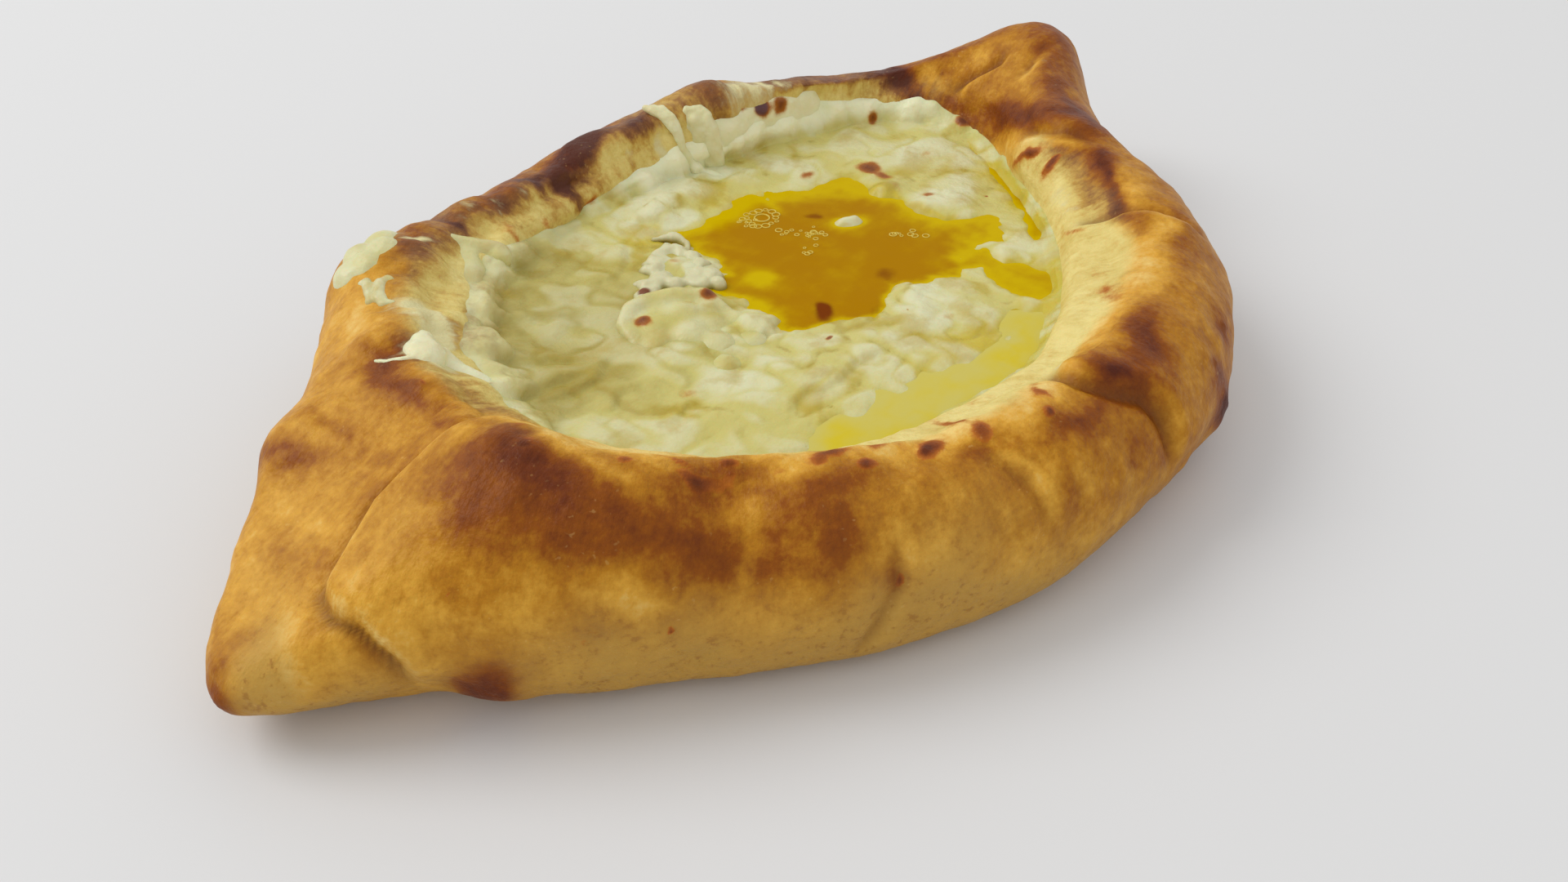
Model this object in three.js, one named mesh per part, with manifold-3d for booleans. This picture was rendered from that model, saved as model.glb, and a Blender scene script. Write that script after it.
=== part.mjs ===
// A boat-shaped cheese bread: a rolled dough rim with two pinched ends round a well of melted
// cheese, with an egg yolk, a butter pool and pulled cheese on it. Millimetres, +Z up. The flat
// base lies on Z = 0 and the near end of the boat points along -X.
import * as THREE from 'three';
import Module from 'manifold-3d';
import { mergeVertices } from 'three/addons/utils/BufferGeometryUtils.js';

const wasm = await Module();
wasm.setup();

// ---- Driving dimensions ---------------------------------------------------------------------

// Stations run round the rim: 0 is the near end, 1 to 8 the front side, 9 the far end and
// 10 to 15 the back side. Each has a point of the widest outline, a point of the cheese's edge
// and the height of the rim's crest.
const RIM_OUTLINE = [
  [-156, 18], [-126, -16], [-98, -45], [-69, -71], [-30, -91], [15, -96], [57, -87], [91, -61],
  [114, -25], [155, 14], [123, 47], [78, 75], [30, 93], [-19, 96], [-64, 88], [-105, 57],
];
const WELL_OUTLINE = [
  [-75, 14], [-77, -6], [-67, -25], [-53, -41], [-27, -52], [8, -59], [39, -49], [66, -31],
  [86, -9], [101, 14], [94, 40], [70, 54], [31, 65], [-7, 68], [-43, 60], [-65, 38],
];
const CREST_HEIGHTS = [42, 44, 41, 39, 38, 38, 40, 42, 45, 48, 40, 43, 42, 39, 41, 42];
const STATIONS = RIM_OUTLINE.length;
const NEAR_END = 0;
const NEAR_FOOT = 0.3; // where the near end's base draws in most
const SIDE_FOOT = 4.6; // and where the front side's does
const FAR_END = 9;
const END_REACH = 0.7; // stations over which an end's own shape fades out

const CHEESE_LEVEL = 26;
const WELL_FLOOR = 10;
const FLOOR_INSET = 4; // how far the well's wall leans in below the cheese

// The roll's section, as insets from the widest outline, and what the ends add to them.
const BASE_INSET = 9;
const NEAR_BASE_INSET = 12;
const SIDE_BASE_INSET = 6;
const SHOULDER_INSET = 10;
const NEAR_SHOULDER_INSET = 9;
const SHOULDER_DROP = 3; // below the crest
const NEAR_SHOULDER_DROP = 14;
const CREST_INSET = 21;
const NEAR_CREST_INSET = 37;
const FAR_CREST_INSET = 4;

// Rows of the section, from the edge of the base over the crest to the floor of the well.
const BASE_ROW = 0;
const CREST_ROW = 5;
const CHEESE_ROW = 8;
const FLOOR_ROW = 9;

// Swellings of the dough: place as station and row, height and radius.
const LOBES = [
  { at: [1.4, 3.8], height: 3.5, radius: 30 },
  { at: [2.75, 3.9], height: 2.5, radius: 20 },
  { at: [4.2, 4.8], height: 2.5, radius: 15 },
  { at: [5.3, 4.8], height: 2, radius: 20 },
  { at: [7.7, 5.6], height: 3, radius: 13 },
  { at: [8.85, 4.8], height: 4, radius: 13 },
  { at: [11.6, 5], height: 3, radius: 18 },
  { at: [12.6, 5.2], height: 2, radius: 10 },
  { at: [15.2, 3.2], height: 4, radius: 11 },
  { at: [14.15, 3.8], height: 4.5, radius: 12 },
  { at: [0.85, 5], height: 2.5, radius: 13 },
  { at: [1.12, 1.5], height: 2, radius: 8 },
];

// Folds where one layer of dough lies over the next. The upper layer is on the left of each
// line, seen from outside, or on the right where lip is negative: lip is how far it stands up,
// sink how deep the line itself lies.
const FOLDS = [
  {
    line: [
      [0.3, 6.6], [0.38, 5.3], [0.18, 4.5], [0.32, 3.95], [0.5, 3.5], [0.66, 3], [0.77, 2.4], [0.8, 1.5],
    ],
    lip: 2.8, sink: 1.8, reach: 14,
  },
  { line: [[3.12, 3.6], [3.07, 2.6], [2.97, 1.8], [2.85, 1]], lip: 1, sink: 1, reach: 6 },
  { line: [[3.72, 4.5], [3.84, 3.7], [3.86, 2.6]], lip: 1, sink: 1.2, reach: 7 },
  { line: [[4.72, 2.2], [4.78, 3.6], [4.55, 4], [4.48, 4.9], [4.62, 6.2]], lip: -3, sink: 2.2, reach: 12 },
  { line: [[6.42, 3.6], [6.52, 4.6], [6.6, 5.4], [6.64, 6.2], [6.7, 7.3]], lip: 2.4, sink: 1.6, reach: 12 },
  { line: [[7.4, 4.7], [7.6, 5.2], [7.95, 6.2], [8.1, 7]], lip: 1.2, sink: 1.5, reach: 10 },
  { line: [[8.7, 4.6], [8.62, 5.6], [8.75, 6.3]], lip: 1.2, sink: 1.2, reach: 8 },
  { line: [[9, 5.4], [9.04, 5.9], [9.3, 6.5], [9.36, 7.3]], lip: 2.2, sink: 2, reach: 10 },
];
const FOLD_WIDTH = 3.5; // half width of the dip along a fold
const FOLD_FADE = 9; // length over which a fold dies out at its ends

// Valleys between two swellings.
const VALLEYS = [
  { line: [[2.22, 5.4], [2.32, 3.6], [2.34, 2.2]], depth: 4, width: 9 },
  { line: [[3.4, 5.4], [3.5, 4.2]], depth: 1.2, width: 8 },
  { line: [[5.95, 5.4], [6.3, 6.6], [6.4, 7.4]], depth: 1.5, width: 10 },
  { line: [[10.25, 7.6], [10.2, 5.8]], depth: 1.4, width: 4 },
  { line: [[10.6, 7.8], [10.8, 6.4], [10.95, 5.4]], depth: 1.6, width: 4 },
  { line: [[11.66, 7.9], [11.66, 6.2]], depth: 2.4, width: 4 },
  { line: [[12.95, 7], [12.95, 5]], depth: 1.4, width: 5 },
  { line: [[13.6, 7.4], [13.66, 5]], depth: 1.8, width: 4 },
  { line: [[15, 6.4], [14.9, 5.2]], depth: 1.6, width: 5 },
];

// Soft humps of the cheese: place, height and radius.
const CHEESE_HUMPS = [
  { at: [-52, 18], height: 1.5, radius: 16 },
  { at: [-34, -22], height: 1.2, radius: 14 },
  { at: [38, -28], height: 0.8, radius: 9 },
  { at: [-26, 46], height: 1.2, radius: 12 },
];

const YOLK_OUTLINE = [
  [3, 49], [29, 48], [43, 37], [63, 24], [60, 3], [60, -23], [46, -20], [41, -25], [48, -38],
  [42, -43], [36, -38], [32, -28], [24, -16], [12, -19], [3, -13], [-7, -12], [-13, -4],
  [-9, 9], [-3, 22], [2, 33],
];
const YOLK_DEPTH = 4;
const YOLK_CROWN = 0.5; // how far the yolk's surface stands above the cheese level
const BUTTER_OUTLINE = [
  [-40, -33], [-20, -35], [0, -40], [18, -41], [30, -45], [22, -50.5], [4, -53], [-16, -50], [-36, -43],
  [-46, -37],
];
const BUTTER_DEPTH = 1.6;
const BUTTER_CROWN = 0.3;
const POOL_STEPS = 4; // outline pieces between two points of a pool

// Lumps that stand on the cheese: outline, height, and how flat their top is.
const EGG_WHITE_OUTLINE = [[-9, 43], [-3, 41], [-2, 34], [-7, 28], [-14, 27], [-17, 34]];
const EGG_WHITE_HEIGHT = 5;
const CHEESE_FOLD_OUTLINE = [
  [-33, 24], [-23, 26], [-15, 22], [-14, 14], [-18, 6], [-27, 3], [-35, 8], [-38, 17],
];
const CHEESE_FOLD_HEIGHT = 6;

// Cheese that has stuck to the rim: place and half sizes as station and row, and thickness.
const RIM_CHEESE = [
  { name: 'rim_cheese_left', at: [14.35, 4.2], size: [0.33, 0.75], height: 2 },
  { name: 'rim_cheese_corner', at: [15.15, 6], size: [0.2, 0.7], height: 4 },
  { name: 'rim_cheese_back', at: [11.2, 6.2], size: [0.36, 1.2], height: 2 },
  { name: 'cheese_flap', at: [13.85, 6.5], size: [0.24, 1.1], height: 4.5 },
];

// Strands pulled from the crest down to the cheese: path as station, row and height above the
// dough, with the half width and half thickness at each point.
const CHEESE_PULLS = [
  {
    name: 'cheese_pull_left',
    path: [[12.1, 5, 2.2], [12.06, 5.8, 4], [12.02, 6.7, 5], [11.98, 7.45, 3]],
    halfWidth: [5, 3.5, 2.5, 3.5],
    halfThickness: [1.4, 1.4, 1.3, 1.4],
  },
  {
    name: 'cheese_pull_right',
    path: [[11.78, 5, 2.2], [11.76, 5.8, 3], [11.72, 6.7, 3.2], [11.66, 7.4, 2.6]],
    halfWidth: [6, 5, 3.5, 5],
    halfThickness: [1.4, 1.3, 1.2, 1.3],
  },
];

const GAP = 0.3; // between two pieces that touch

// Grid of the bread and of what follows it.
const STEPS_PER_STATION = 8;
const RIM_STEPS = STATIONS * STEPS_PER_STATION;
const ROWS = [
  BASE_ROW, 0.5, 1, 1.5, 2, 2.5, 3, 3.4, 3.8, 4.2, 4.6, CREST_ROW,
  5.4, 5.8, 6.2, 6.6, 7, 7.5, CHEESE_ROW, FLOOR_ROW,
];
const CHEESE_RINGS = [0.93, 0.7, 0.4];

// ---- Curves and small helpers ---------------------------------------------------------------

function catmullRom(a, b, c, d, f) {
  const cubic = -a + 3 * b - 3 * c + d;
  const square = 2 * a - 5 * b + 4 * c - d;
  return 0.5 * (2 * b + (c - a) * f + square * f * f + cubic * f * f * f);
}

// A value that runs through a closed list of values, one for each station.
function around(values, station) {
  const start = Math.floor(station);
  const pick = (step) => values[(start + step + 2 * values.length) % values.length];
  return catmullRom(pick(-1), pick(0), pick(1), pick(2), station - start);
}

// A value that runs through an open list of values.
function along(values, place) {
  const last = values.length - 1;
  const start = Math.min(Math.max(Math.floor(place), 0), last - 1);
  const pick = (step) => values[Math.min(Math.max(start + step, 0), last)];
  return catmullRom(pick(-1), pick(0), pick(1), pick(2), place - start);
}

function bell(distance, width) {
  return Math.exp(-((distance / width) ** 2));
}

// How much of an end's own shape a station takes, from 1 at the end to 0.
function nearness(station, end) {
  const half = STATIONS / 2;
  const apart = ((((station - end + half) % STATIONS) + STATIONS) % STATIONS) - half;
  return bell(apart, END_REACH);
}

// ---- The bread's surface --------------------------------------------------------------------

function plainCrust(station, row) {
  const near = nearness(station, NEAR_END);
  const far = nearness(station, FAR_END);
  const rim = new THREE.Vector2(
    around(RIM_OUTLINE.map((p) => p[0]), station),
    around(RIM_OUTLINE.map((p) => p[1]), station),
  );
  const inward = new THREE.Vector2(
    around(WELL_OUTLINE.map((p) => p[0]), station),
    around(WELL_OUTLINE.map((p) => p[1]), station),
  ).sub(rim);
  const width = inward.length();
  inward.normalize();
  const crest = around(CREST_HEIGHTS, station);
  const crestInset = CREST_INSET + NEAR_CREST_INSET * near + FAR_CREST_INSET * far;
  const shoulder = crest - SHOULDER_DROP - NEAR_SHOULDER_DROP * near;
  const shoulderInset = SHOULDER_INSET + NEAR_SHOULDER_INSET * near;
  const drawnIn = NEAR_BASE_INSET * nearness(station, NEAR_FOOT)
    + SIDE_BASE_INSET * nearness(station, SIDE_FOOT);
  const section = [
    [BASE_INSET + drawnIn, 0],
    [0.25 * BASE_INSET + 0.6 * drawnIn, 0.14 * shoulder],
    [0, 0.42 * shoulder],
    [0.18 * shoulderInset, 0.75 * shoulder],
    [shoulderInset, shoulder],
    [crestInset, crest],
    [crestInset + 0.45 * (width - crestInset), 0.9 * crest],
    [crestInset + 0.8 * (width - crestInset), 0.5 * (crest + CHEESE_LEVEL)],
    [width, CHEESE_LEVEL],
    [width + FLOOR_INSET, WELL_FLOOR],
  ];
  const inset = along(section.map((p) => p[0]), row);
  const height = along(section.map((p) => p[1]), row);
  return new THREE.Vector3(rim.x + inward.x * inset, rim.y + inward.y * inset, height);
}

function crustNormal(station, row) {
  const step = 0.02;
  const sideways = plainCrust(station + step, row).sub(plainCrust(station - step, row));
  const upper = plainCrust(station, Math.min(row + step, FLOOR_ROW));
  const upwards = upper.sub(plainCrust(station, Math.max(row - step, BASE_ROW)));
  return sideways.cross(upwards).normalize();
}

// A line given as stations and rows, with the points that it runs through on the crust.
function traceLine(line) {
  const points = line.map(([station, row]) => plainCrust(station, row));
  const lengths = [0];
  for (let i = 1; i < points.length; i++) {
    lengths.push(lengths[i - 1] + points[i].distanceTo(points[i - 1]));
  }
  return { line, points, lengths };
}

// Distance from a point to a traced line, the side it lies on (1 is left) and how far the
// line's own ends fade its effect there.
function measureLine(traced, point, station, row) {
  const { line, points, lengths } = traced;
  const total = lengths[lengths.length - 1];
  const turns = Math.round((station - line[0][0]) / STATIONS);
  const nearStation = station - turns * STATIONS;
  const best = { distance: Infinity, side: 1, fade: 0 };
  for (let i = 0; i + 1 < points.length; i++) {
    const span = points[i + 1].clone().sub(points[i]);
    const offset = point.clone().sub(points[i]);
    const part = THREE.MathUtils.clamp(offset.dot(span) / span.lengthSq(), 0, 1);
    const distance = offset.addScaledVector(span, -part).length();
    if (distance >= best.distance) continue;
    const run = lengths[i] + part * (lengths[i + 1] - lengths[i]);
    const acrossStation = line[i + 1][0] - line[i][0];
    const acrossRow = line[i + 1][1] - line[i][1];
    const turn = acrossStation * (row - line[i][1]) - acrossRow * (nearStation - line[i][0]);
    best.distance = distance;
    best.side = turn < 0 ? -1 : 1;
    best.fade = THREE.MathUtils.smoothstep(Math.min(run, total - run), 0, FOLD_FADE);
  }
  return best;
}

const lobeCentres = LOBES.map(({ at }) => plainCrust(...at));
const foldLines = FOLDS.map(({ line }) => traceLine(line));
const valleyLines = VALLEYS.map(({ line }) => traceLine(line));

// How far the dough stands out from its plain surface at a place on it.
function relief(point, station, row) {
  let height = 0;
  LOBES.forEach((lobe, i) => {
    height += lobe.height * bell(point.distanceTo(lobeCentres[i]), lobe.radius);
  });
  FOLDS.forEach((fold, i) => {
    const { distance, side, fade } = measureLine(foldLines[i], point, station, row);
    const dip = -fold.sink * bell(distance, FOLD_WIDTH);
    const rise = 1 - bell(distance, FOLD_WIDTH);
    const onLip = side * fold.lip > 0;
    const lip = onLip ? Math.abs(fold.lip) * rise * Math.exp(-distance / fold.reach) : 0;
    height += fade * (dip + lip);
  });
  VALLEYS.forEach((valley, i) => {
    const { distance, fade } = measureLine(valleyLines[i], point, station, row);
    height -= fade * valley.depth * bell(distance, valley.width);
  });
  const foot = THREE.MathUtils.smoothstep(row, 0.3, 1.2);
  const shore = 1 - THREE.MathUtils.smoothstep(row, 7.2, CHEESE_ROW);
  return height * foot * shore;
}

// A point of the dough, moved out along its normal by a clearance.
function crust(station, row, clearance = 0) {
  const point = plainCrust(station, row);
  const outward = relief(point, station, row) + clearance;
  return point.addScaledVector(crustNormal(station, row), outward);
}

// The height of the cheese at a place.
function cheeseTop(x, y) {
  let height = CHEESE_LEVEL;
  for (const hump of CHEESE_HUMPS) {
    height += hump.height * bell(Math.hypot(x - hump.at[0], y - hump.at[1]), hump.radius);
  }
  return height;
}

// ---- Closed bodies from rings of points -----------------------------------------------------

// Rings of equal length, each the next one up the outside, closed by a point at either end.
function ringBody(rings, firstPole, lastPole) {
  const count = rings[0].length;
  const positions = [];
  rings.flat().forEach((p) => positions.push(p.x, p.y, p.z));
  positions.push(firstPole.x, firstPole.y, firstPole.z, lastPole.x, lastPole.y, lastPole.z);
  const first = rings.length * count;
  const last = first + 1;
  const faces = [];
  for (let k = 0; k < count; k++) {
    const next = (k + 1) % count;
    faces.push(first, next, k);
    for (let r = 0; r + 1 < rings.length; r++) {
      const low = r * count;
      const high = low + count;
      faces.push(low + k, low + next, high + next, low + k, high + next, high + k);
    }
    const top = (rings.length - 1) * count;
    faces.push(top + k, top + next, last);
  }
  const geometry = new THREE.BufferGeometry();
  geometry.setAttribute('position', new THREE.Float32BufferAttribute(positions, 3));
  geometry.setIndex(faces);
  return geometry;
}

function centreOf(ring) {
  const centre = new THREE.Vector3();
  ring.forEach((p) => centre.add(p));
  return centre.divideScalar(ring.length);
}

// The points of a closed outline, moved outwards by a margin.
function outlinePoints(outline, steps, margin = 0) {
  const curve = new THREE.CatmullRomCurve3(
    outline.map(([x, y]) => new THREE.Vector3(x, y, 0)),
    true,
  );
  const count = outline.length * steps;
  const points = curve.getPoints(count).slice(0, count);
  const area = THREE.ShapeUtils.area(points);
  return points.map((point, i) => {
    const before = points[(i + count - 1) % count];
    const after = points[(i + 1) % count];
    const out = new THREE.Vector3(after.y - before.y, before.x - after.x, 0).normalize();
    return point.clone().addScaledVector(out, area > 0 ? margin : -margin);
  });
}

function toManifold(geometry) {
  const bare = geometry.clone();
  bare.deleteAttribute('normal');
  bare.deleteAttribute('uv');
  const merged = mergeVertices(bare);
  const vertProperties = new Float32Array(merged.attributes.position.array);
  const triVerts = new Uint32Array(merged.index.array);
  return new wasm.Manifold(new wasm.Mesh({ numProp: 3, vertProperties, triVerts }));
}

// The largest connected piece of a solid, as geometry.
function toGeometry(solid) {
  const pieces = solid.decompose().sort((a, b) => b.volume() - a.volume());
  const mesh = pieces[0].getMesh();
  const geometry = new THREE.BufferGeometry();
  geometry.setAttribute('position', new THREE.Float32BufferAttribute(mesh.vertProperties, 3));
  geometry.setIndex(Array.from(mesh.triVerts));
  return geometry;
}

// ---- The pieces -----------------------------------------------------------------------------

const rimStations = Array.from({ length: RIM_STEPS }, (_, i) => i / STEPS_PER_STATION);

function breadGeometry(clearance = 0) {
  const rings = ROWS.map((row) => rimStations.map((station) => crust(station, row, clearance)));
  return ringBody(rings, centreOf(rings[0]), centreOf(rings[rings.length - 1]));
}

// The cheese fills the well up to its level, a gap clear of the dough.
function cheeseGeometry() {
  const side = [FLOOR_ROW, CHEESE_ROW].map((row) => rimStations.map((station) => {
    const wall = plainCrust(station, row);
    const rim = plainCrust(station, 2);
    const inward = new THREE.Vector3(wall.x - rim.x, wall.y - rim.y, 0).normalize();
    wall.addScaledVector(inward, GAP);
    wall.z = Math.max(wall.z, WELL_FLOOR + GAP);
    return wall;
  }));
  const edge = side[side.length - 1];
  const centre = centreOf(edge);
  const top = CHEESE_RINGS.map((part) => edge.map((point) => {
    const inner = centre.clone().lerp(point, part);
    inner.z = cheeseTop(inner.x, inner.y);
    return inner;
  }));
  const middle = new THREE.Vector3(centre.x, centre.y, cheeseTop(centre.x, centre.y));
  return ringBody([...side, ...top], centreOf(side[0]), middle);
}

// A pool that is sunk in the cheese: rings down its side and over its gently domed top.
function poolGeometry(outline, depth, crown) {
  const edge = outlinePoints(outline, POOL_STEPS);
  const bottom = edge.map((p) => new THREE.Vector3(p.x, p.y, CHEESE_LEVEL - depth));
  const shore = edge.map((p) => new THREE.Vector3(p.x, p.y, CHEESE_LEVEL));
  const inner = outlinePoints(outline, POOL_STEPS, -1.2);
  const domed = inner.map((p) => new THREE.Vector3(p.x, p.y, CHEESE_LEVEL + crown));
  const shape = (ring) => THREE.ShapeUtils.triangulateShape(ring, []);
  const rings = [bottom, shore, domed];
  const positions = rings.flat().flatMap((p) => [p.x, p.y, p.z]);
  const count = edge.length;
  const faces = [];
  const clockwise = THREE.ShapeUtils.isClockWise(edge);
  const add = (a, b, c) => (clockwise ? faces.push(a, c, b) : faces.push(a, b, c));
  for (let k = 0; k < count; k++) {
    const next = (k + 1) % count;
    for (let r = 0; r < 2; r++) {
      const low = r * count;
      const high = low + count;
      add(low + k, low + next, high + next);
      add(low + k, high + next, high + k);
    }
  }
  shape(bottom).forEach(([a, b, c]) => faces.push(a, c, b));
  shape(domed).forEach(([a, b, c]) => faces.push(a + 2 * count, b + 2 * count, c + 2 * count));
  const geometry = new THREE.BufferGeometry();
  geometry.setAttribute('position', new THREE.Float32BufferAttribute(positions, 3));
  geometry.setIndex(faces);
  return geometry;
}

// The recess that a pool needs in the cheese, a gap larger than the pool all round.
function recessGeometry(outline, depth) {
  const headroom = 6;
  const edge = outlinePoints(outline, POOL_STEPS, GAP);
  const shape = new THREE.Shape(edge.map((p) => new THREE.Vector2(p.x, p.y)));
  const geometry = new THREE.ExtrudeGeometry(shape, { depth: headroom, bevelEnabled: false });
  return geometry.translate(0, 0, CHEESE_LEVEL - depth - GAP);
}

// A lump that stands on the cheese, thickest in its middle.
function lumpGeometry(outline, height) {
  const edgeThickness = 0.8;
  const clearance = 0.45;
  const levels = [1, 0.9, 0.65, 0.35];
  const steps = 3;
  let edge = outlinePoints(outline, steps);
  if (THREE.ShapeUtils.isClockWise(edge)) edge = edge.reverse();
  const centre = centreOf(edge);
  const place = (part, point, thickness) => {
    const moved = centre.clone().lerp(point, part);
    moved.z = cheeseTop(moved.x, moved.y) + clearance + thickness;
    return moved;
  };
  const thickness = (part) => edgeThickness + height * Math.sqrt(1 - part * part);
  const under = [0.5, 1].map((part) => edge.map((point) => place(part, point, 0)));
  const over = levels.map((part) => edge.map((point) => place(part, point, thickness(part))));
  return ringBody([...under, ...over], place(0, centre, 0), place(0, centre, thickness(0)));
}

// Cheese that clings to the crust: an oval patch that follows it.
function patchGeometry({ at, size, height }) {
  const steps = 20;
  const edgeThickness = 0.7;
  const ring = (part, thickness) => Array.from({ length: steps }, (_, i) => {
    const angle = (i / steps) * 2 * Math.PI;
    const station = at[0] + size[0] * part * Math.cos(angle);
    const row = at[1] + size[1] * part * Math.sin(angle);
    return crust(station, row, 2 * GAP + thickness);
  });
  const thickness = (part) => edgeThickness + height * Math.sqrt(1 - part * part);
  const under = [0.5, 1].map((part) => ring(part, 0));
  const over = [1, 0.9, 0.65, 0.35].map((part) => ring(part, thickness(part)));
  const bottom = crust(at[0], at[1], 2 * GAP);
  const top = crust(at[0], at[1], 2 * GAP + thickness(0));
  return ringBody([...under, ...over], bottom, top);
}

// A strand of cheese with an oval section that changes along its path.
function strandGeometry({ path, halfWidth, halfThickness }) {
  const sections = 9;
  const sides = 10;
  const points = path.map(([station, row, height]) => crust(station, row, height));
  const curve = new THREE.CatmullRomCurve3(points);
  const rings = [];
  for (let s = 0; s < sections; s++) {
    const part = s / (sections - 1);
    const middle = curve.getPoint(part);
    const place = part * (path.length - 1);
    const station = along(path.map((p) => p[0]), place);
    const row = along(path.map((p) => p[1]), place);
    const forward = curve.getTangent(part);
    const outward = crustNormal(station, row);
    const sideways = outward.clone().cross(forward).normalize();
    const up = forward.clone().cross(sideways).normalize();
    rings.push(Array.from({ length: sides }, (_, i) => {
      const angle = (i / sides) * 2 * Math.PI;
      return middle.clone()
        .addScaledVector(sideways, along(halfWidth, place) * Math.cos(angle))
        .addScaledVector(up, along(halfThickness, place) * Math.sin(angle));
    }));
  }
  return ringBody(rings, centreOf(rings[0]), centreOf(rings[rings.length - 1]));
}

// ---- Assembly -------------------------------------------------------------------------------

function material(color, roughness) {
  return new THREE.MeshStandardMaterial({ color, roughness, metalness: 0 });
}

const crustMaterial = material(0xc98f45, 0.55);
const cheeseMaterial = material(0xd6d08c, 0.35);
const yolkMaterial = material(0xc89410, 0.15);
const whiteMaterial = material(0xe4e2c4, 0.3);
const butterMaterial = material(0xd0be4c, 0.2);

const group = new THREE.Group();

function addPiece(name, geometry, finish) {
  const mesh = new THREE.Mesh(geometry, finish);
  mesh.name = name;
  group.add(mesh);
}

const bread = breadGeometry();
const breadWithGap = toManifold(breadGeometry(GAP));
const recesses = toManifold(recessGeometry(YOLK_OUTLINE, YOLK_DEPTH))
  .add(toManifold(recessGeometry(BUTTER_OUTLINE, BUTTER_DEPTH)));
const cheese = toManifold(cheeseGeometry()).subtract(recesses);

addPiece('bread', bread, crustMaterial);
addPiece('cheese', toGeometry(cheese), cheeseMaterial);
addPiece('egg_yolk', poolGeometry(YOLK_OUTLINE, YOLK_DEPTH, YOLK_CROWN), yolkMaterial);
addPiece('butter', poolGeometry(BUTTER_OUTLINE, BUTTER_DEPTH, BUTTER_CROWN), butterMaterial);
addPiece('egg_white', lumpGeometry(EGG_WHITE_OUTLINE, EGG_WHITE_HEIGHT), whiteMaterial);
addPiece('cheese_fold', lumpGeometry(CHEESE_FOLD_OUTLINE, CHEESE_FOLD_HEIGHT), cheeseMaterial);
for (const patch of RIM_CHEESE) {
  const stuck = toManifold(patchGeometry(patch)).subtract(breadWithGap);
  addPiece(patch.name, toGeometry(stuck), cheeseMaterial);
}
for (const strand of CHEESE_PULLS) {
  const pulled = toManifold(strandGeometry(strand)).subtract(breadWithGap);
  addPiece(strand.name, toGeometry(pulled), cheeseMaterial);
}

export default group;
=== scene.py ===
"""A baked boat of dough filled with melted cheese, butter and a runny egg yolk.

Lengths are millimetres until a mesh takes its vertices, which are metres. A place on the dough is
(station, row): stations 0 to 16 run round the rim from the near tip, and rows run from the base's edge
(0) over the widest line (2), the shoulder (4) and the crest (5) down to the cheese's edge (8) and the
well's floor (9). Marks end in a turn in degrees where they are turned.
"""
import bpy
import numpy as np
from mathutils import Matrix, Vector


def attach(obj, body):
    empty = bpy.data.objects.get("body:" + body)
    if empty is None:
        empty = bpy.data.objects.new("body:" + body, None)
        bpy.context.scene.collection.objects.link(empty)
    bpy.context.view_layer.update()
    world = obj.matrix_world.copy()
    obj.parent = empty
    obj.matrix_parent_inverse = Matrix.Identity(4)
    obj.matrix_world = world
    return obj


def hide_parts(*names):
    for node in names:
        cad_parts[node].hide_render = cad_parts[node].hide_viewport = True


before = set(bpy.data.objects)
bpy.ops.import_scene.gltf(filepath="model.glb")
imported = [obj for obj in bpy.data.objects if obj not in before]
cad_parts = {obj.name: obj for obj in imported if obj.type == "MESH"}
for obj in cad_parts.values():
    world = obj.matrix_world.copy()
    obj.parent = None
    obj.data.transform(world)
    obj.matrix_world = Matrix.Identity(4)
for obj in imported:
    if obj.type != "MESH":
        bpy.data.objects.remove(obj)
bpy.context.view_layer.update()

MM = 0.001

# The rim's outline and the well's outline, seen from above, at the sixteen stations.
RIM_OUTLINE = [
    (-156, 18), (-126, -16), (-98, -45), (-69, -71), (-30, -91), (15, -96), (57, -87), (91, -61),
    (114, -25), (155, 14), (123, 47), (78, 75), (30, 93), (-19, 96), (-64, 88), (-105, 57),
]
WELL_OUTLINE = [
    (-75, 14), (-77, -6), (-67, -25), (-53, -41), (-27, -52), (8, -59), (39, -49), (66, -31), (86, -9),
    (101, 14), (94, 40), (70, 54), (31, 65), (-7, 68), (-43, 60), (-65, 38),
]
CREST_HEIGHTS = [42, 44, 41, 39, 38, 38, 40, 42, 45, 48, 40, 43, 42, 39, 41, 42]
STATIONS = 16
LAST_ROW = 9
NEAR_TIP = 0
FAR_TIP = 9
NEAR_FOOT = 0.3
SIDE_FOOT = 4.6
END_REACH = 0.7
CHEESE_LEVEL = 26
WELL_FLOOR = 10
FLOOR_INSET = 4
BASE_INSET = 9
NEAR_FOOT_INSET = 12
SIDE_FOOT_INSET = 6
SHOULDER_INSET = 10
NEAR_SHOULDER_INSET = 9
SHOULDER_DROP = 3
NEAR_SHOULDER_DROP = 14
CREST_INSET = 21
NEAR_CREST_INSET = 37
FAR_CREST_INSET = 4

# Swellings of the dough: (station, row, height, radius).
LOBES = [
    (1.4, 3.8, 3.5, 30), (2.75, 3.9, 2.5, 20), (4.2, 4.8, 2.5, 15), (5.3, 4.8, 2, 20), (7.7, 5.6, 3, 13),
    (8.85, 4.8, 4, 13), (11.6, 5, 3, 18), (12.6, 5.2, 2, 10), (15.2, 3.2, 4, 11), (14.15, 3.8, 4.5, 12),
    (0.85, 5, 2.5, 13), (1.12, 1.5, 2, 8), (5.4, 2.1, 1.6, 6),
]
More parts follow.
